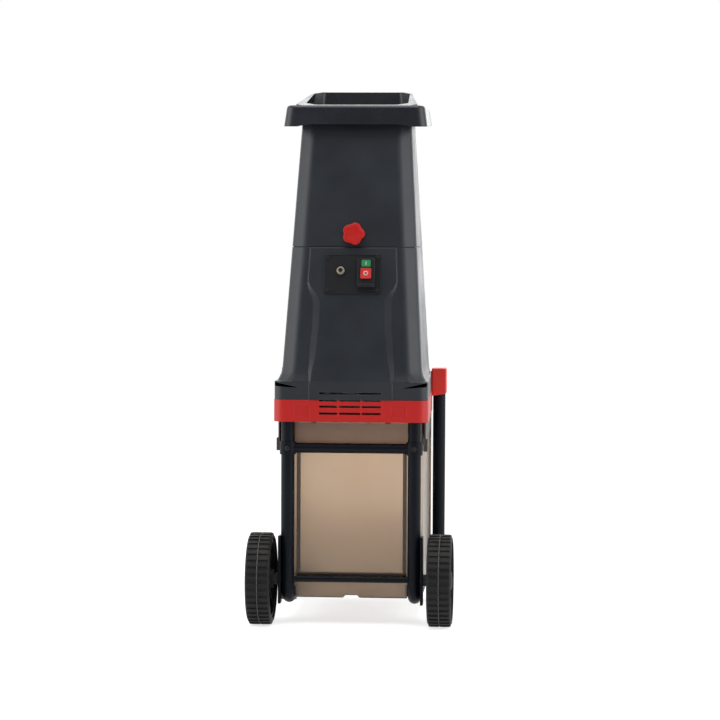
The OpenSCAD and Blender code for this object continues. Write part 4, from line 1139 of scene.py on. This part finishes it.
# %% Model one tyre and copy it
AXLE_Y, AXLE_Z = -139.75 * MM, 87.5 * MM
LUGS, LUG_H = 42, 2.6 * MM
TREAD_R, RIM_R = 87.5 * MM - LUG_H, 76 * MM
SEAM_X, ROW_X, SHOULDER_X, EDGE_X = 1.1 * MM, 16.5 * MM, 20.5 * MM, 23 * MM
SHOULDER_DRAW, EDGE_DRAW, SEAM_LIFT = 0.988, 0.955, 1.018
FLASH_R, FLASH_THICK = 86.4 * MM, 0.9 * MM
low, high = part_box("tyre_right")
middle = (low.x + high.x) / 2
hub = Vector((middle, AXLE_Y, AXLE_Z))
tyre = rod("tread_right", (low.x, AXLE_Y, AXLE_Z), (high.x, AXLE_Y, AXLE_Z), TREAD_R, 2 * LUGS,
           fill="NOTHING")
edit()
slice_at(RIGHT, [middle + side * x for x in (SEAM_X, ROW_X, SHOULDER_X) for side in (-1, 1)])
for x, draw_in in ((SHOULDER_X, SHOULDER_DRAW), (EDGE_X, EDGE_DRAW)):
    pick("VERT", lambda v: abs(abs(v.co.x - middle) - x) < 0.2 * MM)
    stretch(1, draw_in, draw_in, center_override=hub)


def bar_face(face):
    """Every second face round the tread, on both sides of the seam and out to the shoulders."""
    spot = face.calc_center_median() - hub
    if not SEAM_X < abs(spot.x) < SHOULDER_X:
        return False
    return round(math.atan2(spot.z, spot.y) / math.pi * LUGS - 0.5) % 2 == 0


print("bar faces:", pick("FACE", bar_face))
inset_face(0.3 * MM)
bpy.ops.mesh.extrude_region_shrink_fatten(TRANSFORM_OT_shrink_fatten={"value": LUG_H - 0.5 * MM})
inset_face(0.7 * MM)
bpy.ops.transform.shrink_fatten(value=0.5 * MM)
pick("FACE", lambda f: abs(f.calc_center_median().x - middle) < 0.5 * MM)
inset_face(0.4 * MM)
stretch(1, SEAM_LIFT, SEAM_LIFT, center_override=hub)
to_rim = RIM_R / (TREAD_R * EDGE_DRAW)
for end in (low.x, high.x):
    pick("EDGE", rim, ends(lambda place: close_to(place.x, end)))
    bpy.ops.mesh.extrude_edges_move(TRANSFORM_OT_translate={"value": (0, 0, 0)})
    stretch(1, to_rim, to_rim, center_override=hub)
bridge()
merge(0.02 * MM)
leave()
bpy.ops.mesh.primitive_torus_add(location=hub, rotation=(0, math.pi / 2, 0), major_segments=96,
                                 minor_segments=8, major_radius=FLASH_R, minor_radius=FLASH_THICK)
flash = bpy.context.object
flash.name = "flash_right"
left_flash = copy(flash, "flash_left")
left_flash.location.x = -middle
settle(flash, "right_wheel", "wheel_black", finish="seam_grey")
settle(left_flash, "left_wheel", "wheel_black", finish="seam_grey")
left_tyre = copy(tyre, "tread_left")
left_tyre.location.x = -2 * middle
settle(tyre, "right_wheel", "wheel_black", "tyre_right", smooth=28)
settle(left_tyre, "left_wheel", "wheel_black", "tyre_left", smooth=28)

# %% [markdown]
# ## Hub caps
# A snapped-on cap hides each axle end. It is a low dome with a stepped rim: a disc
# whose face is inset and lifted in steps, then rounded by a bevel.

# %% Model the hub caps
HUB_R, HUB_TAPER = 17 * MM, 0.94
low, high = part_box("hub_cap_right")
cap = rod("hub_dome_right", (low.x + 0.5 * MM, AXLE_Y, AXLE_Z), (high.x - 2 * MM, AXLE_Y, AXLE_Z),
          HUB_R, 64)
edit()
pick_face(RIGHT)
inset_face(2 * MM)
pull(mm(1.2, 0, 0))
stretch(1, HUB_TAPER, HUB_TAPER)
terrace(RIGHT, (6 * MM, 0.7 * MM), (4 * MM, 0.1 * MM))
pick("EDGE", corner(40))
roll(0.5 * MM, 2)
leave()
left_cap = copy(cap, "hub_dome_left")
left_cap.scale.x = -1
settle(cap, "right_wheel", "wheel_black", "hub_cap_right")
settle(left_cap, "left_wheel", "wheel_black", "hub_cap_left")

# %% [markdown]
# ## Catch box
# The smoke-coloured box fills the frame. It has rounded upright corners, a shallow
# panel in each side, a keel that runs between the rails, a tapered notch under the
# near edge and a grip at the far side. A hollow box is a block whose top is inset and
# pushed down. The keel and the recesses are welded on and cut out with blocks, since
# their edges are plain. A darker bead round the near panel is painted shade along the
# step of the wall, and a darker second wall inside the top is painted shadow under the tray.

# %% Model the catch box
low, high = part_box("catch_box")
LEDGE_Z, KEEL_HALF = 75 * MM, 106 * MM
RUNNER_X, RUNNER_HALF, RUNNER_NEAR, RUNNER_LOW = 120 * MM, 6 * MM, -92 * MM, 62.8 * MM
PANEL_EDGE, PANEL_STEP, PANEL_DEPTH = 28 * MM, 2.5 * MM, 1.6 * MM
OUTER_LEAST, WALL_LEAST = 100 * MM, 0.03
box = block("smoky_bin", (low.x, low.y, LEDGE_Z), high)
edit()
roll_along(UP, 9 * MM, 6)
pick_face(UP)
inset_face(WALL)
pull((0, 0, -(high.z - LEDGE_Z - WALL)))
for way in (NEAR, RIGHT, LEFT):
    pick("FACE", facing(way, 0.99), lambda f: f.calc_area() > WALL_LEAST,
         lambda f: f.calc_center_median().dot(Vector(way)) > OUTER_LEAST)
    terrace(way, (PANEL_EDGE, 0), (PANEL_STEP, -PANEL_DEPTH))
pick("EDGE", beyond(UP, high.z - 0.1 * MM), lambda e: e.is_manifold)
roll(0.9 * MM, 2)
leave()

# Keel, runners, the wall round the notch and the grip pocket are welded on, then hollowed
weld(box, slab("keel", KEEL_HALF, low.y + 0.2 * MM, high.y - 0.2 * MM, low.z, LEDGE_Z + 1 * MM))
carve(box, slab("keel_hollow", KEEL_HALF - WALL, low.y + WALL, high.y - WALL,
                low.z + WALL, LEDGE_Z + 6 * MM))
for x in (-RUNNER_X, RUNNER_X):
    weld(box, block("runner", (x - RUNNER_HALF, RUNNER_NEAR, RUNNER_LOW),
                    (x + RUNNER_HALF, high.y - 10 * MM, LEDGE_Z + 1 * MM)))
NOTCH_HALF, NOTCH_DEPTH, NOTCH_HEIGHT = 10 * MM, 34 * MM, 6 * MM
weld(box, slab("notch_wall", NOTCH_HALF + 9 * MM, low.y + 0.4 * MM, low.y + NOTCH_DEPTH + WALL,
               low.z + 0.2 * MM, low.z + NOTCH_HEIGHT + WALL))
notch = slab("notch", NOTCH_HALF, low.y - 5 * MM, low.y + NOTCH_DEPTH,
             low.z - 5 * MM, low.z + NOTCH_HEIGHT)
edit()
pick_face(DOWN)
stretch(2, 1, 1)
leave()
carve(box, notch)
GRIP_HALF, GRIP_LOW, GRIP_HIGH, GRIP_DEPTH = 55 * MM, 237 * MM, 263 * MM, 15 * MM
weld(box, slab("grip_wall", GRIP_HALF + WALL, high.y - GRIP_DEPTH - WALL, high.y - 1 * MM,
               GRIP_LOW - WALL, GRIP_HIGH + WALL))
pocket = slab("grip_pocket", GRIP_HALF, high.y - GRIP_DEPTH, high.y + 5 * MM, GRIP_LOW, GRIP_HIGH)
carve(box, round_off(pocket, FAR, (6 * MM, 4)))
settle(box, "box", "smoky_box", "catch_box", recalc=False)


def open_up(ways, border):
    """Cut away two opposite faces but for a border, and join the two holes to a frame."""
    for way in ways:
        pick_face(way)
        inset_face(border)
        bpy.ops.mesh.delete(type="FACE")
    bridge()


# The bead round the near panel: a flat frame, bevelled, whose darker tint is painted shade along
# the panel's step
BEAD_HALF, BEAD_LOW, BEAD_WIDTH = 105 * MM, 91 * MM, 7.5 * MM
bead = slab("panel_bead_shade", BEAD_HALF, low.y + 0.1 * MM, low.y + 1.4 * MM, BEAD_LOW, high.z - 44 * MM)
edit()
open_up((NEAR, FAR), BEAD_WIDTH)
pick("EDGE", corner(60), beyond(NEAR, -low.y - 0.3 * MM))
roll(0.5 * MM, 2)
leave()
settle(bead, "box", "smoky_box", finish="smoky_bead_shade")

# The rim: a darker second wall inside the top of the box, painted shadow where the tray shades it
RIM_LOW, RIM_HIGH = high.z - 47 * MM, high.z + 2.5 * MM
reach = WALL + 0.2 * MM
box_rim_shadow = block("box_rim_shadow", (low.x + reach, low.y + reach, RIM_LOW),
                (high.x - reach, high.y - reach, RIM_HIGH))
edit()
roll_along(UP, 6 * MM, 5)
open_up((UP, DOWN), 2 * MM)
leave()
settle(box_rim_shadow, "box", "smoky_box", finish="smoky_rim_shadow")

# %% [markdown]
# ## Cross bar screws
# Each saddle of the cross bar is held to its leg by one blackened dome-head screw. A
# disc with a heavily rounded edge and a hexagon socket is enough at this size, and
# the second screw is a copy.

# %% Model the bar screws
low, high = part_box("bar_screws")
LEG_X = 120 * MM
screw_z = (low.z + high.z) / 2
dome = rod("bar_screw_right", (LEG_X, high.y, screw_z), (LEG_X, low.y, screw_z), 4.5 * MM, 40)
round_off(dome, NEAR, front=(1.9 * MM, 5))
carve(dome, rod("socket", (LEG_X, low.y - 1 * MM, screw_z), (LEG_X, low.y + 1.4 * MM, screw_z),
                1.7 * MM, 6))
left_dome = copy(dome, "bar_screw_left")
left_dome.location.x = -2 * LEG_X
settle(dome, "frame", "screw_black", "bar_screws", recalc=False)
settle(left_dome, "frame", "screw_black", "bar_screws", recalc=False)

# %% [markdown]
# ## Caps, feet and guides
# The red caps on the far legs, the rubber feet, the plugs of the rails and the guides
# of the box are moulded, so their edges are round. Their solids are right as they are.
# Instead of building them again, a copy of each solid is merged, its flat faces are
# dissolved back to single ones, and its outer edges are bevelled. The caps get a paler
# red of their own than the tray's: painted light, for the strong side light on them.

# %% Round the caps, feet, plugs and guides


def rounded(node, name, slot, width, *tests, finish=None):
    """A copy of a solid of the frame with its sharp edges rolled."""
    piece = copy(frame["nodes"][node], name)
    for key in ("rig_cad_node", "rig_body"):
        if key in piece:
            del piece[key]
    edit()
    bpy.ops.mesh.customdata_custom_splitnormals_clear()
    merge(0.01 * MM)
    bpy.ops.mesh.dissolve_limited(angle_limit=math.radians(2))
    print(name, "edges rolled:", pick("EDGE", corner(40), *tests))
    roll(width, 3)
    leave()
    settle(piece, "frame", slot, node, finish=finish)


FAR_LEG, LEG_BORE = mm(151.5, 203.25, 0), 14.5 * MM
PLUG_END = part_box("rail_plugs")[1].y
off_leg = ends(lambda place: (Vector((abs(place.x), place.y, 0)) - FAR_LEG).length > LEG_BORE)
# The caps take the paler red, which is painted light, and not the tray's red
for side in ("left", "right"):
    rounded("leg_socket_" + side, "leg_cap_" + side, "red_plastic", 2.5 * MM, off_leg,
            finish="cap_red")
    rounded("foot_" + side, "rubber_foot_" + side, "rubber_black", 1.5 * MM, off_leg)
    rounded("box_guide_" + side, "guide_rail_" + side, "guide_grey", 0.9 * MM)
rounded("rail_plugs", "rail_end_plugs", "rubber_black", 1.5 * MM, beyond(FAR, PLUG_END - 0.1 * MM))

# %% [markdown]
# ## Power inlet
# Mains power comes in at the far side through a round inlet with a square flange. The
# pieces are built flat and stood against the leaning far face, as on the panel. Three
# flat pins stand in the socket, and a screw holds each corner of the flange.

# %% Model the power inlet
low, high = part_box("power_inlet")
FLANGE, FLANGE_THICK, BARREL_R, BARREL_LONG, SOCKET_DEPTH = 23, 4 * MM, 17 * MM, 26 * MM, 18 * MM
INLET_X, STUD_AT = -60 * MM, 18
drop = math.sin(FAR_LEAN)
ON_REAR = (Matrix.Translation((INLET_X, low.y + FLANGE * MM * drop,
                               (low.z + high.z) / 2 - BARREL_LONG / 2 * drop))
           @ Matrix.Rotation(FAR_LEAN - math.pi / 2, 4, "X"))
inlet = block_at("inlet_flange", BENCH, mm(FLANGE, FLANGE, 0), 0, FLANGE_THICK)
round_off(inlet, OUT, (5 * MM, 5), (1 * MM, 3))
barrel = post("barrel", BENCH, 1 * MM, BARREL_LONG, BARREL_R, 64)
edit()
pick_face(OUT)
inset_face(3 * MM)
pull((0, 0, -SOCKET_DEPTH))
pick("EDGE", corner(60), beyond(OUT, BARREL_LONG - 6 * MM))
roll(0.7 * MM, 3)
leave()
join(inlet, barrel)
settle(inlet, "frame", "plate_black", "power_inlet", at=ON_REAR, recalc=False)

pins = [block_at("inlet_pins", mm(x, y, 0), mm(1.2, 2.5, 0), 6 * MM, 22 * MM)
        for x, y in ((-6, -3), (6, -3), (0, 5))]
join(*[round_off(pin, OUT, front=(0.7 * MM, 2)) for pin in pins])
settle(pins[0], "frame", "steel", at=ON_REAR)

studs = []
for place in [mm(x, y, 0) for x in (-STUD_AT, STUD_AT) for y in (-STUD_AT, STUD_AT)]:
    stud = post("inlet_screws", place, 2 * MM, 5.6 * MM, 2.8 * MM, 28)
    studs.append(round_off(stud, OUT, front=(1.0 * MM, 3)))
    carve(stud, block_at("slot", place, mm(2.2, 0.35, 0), 4.9 * MM, 8 * MM))
join(*studs)
settle(studs[0], "frame", "screw_black", at=ON_REAR, recalc=False)
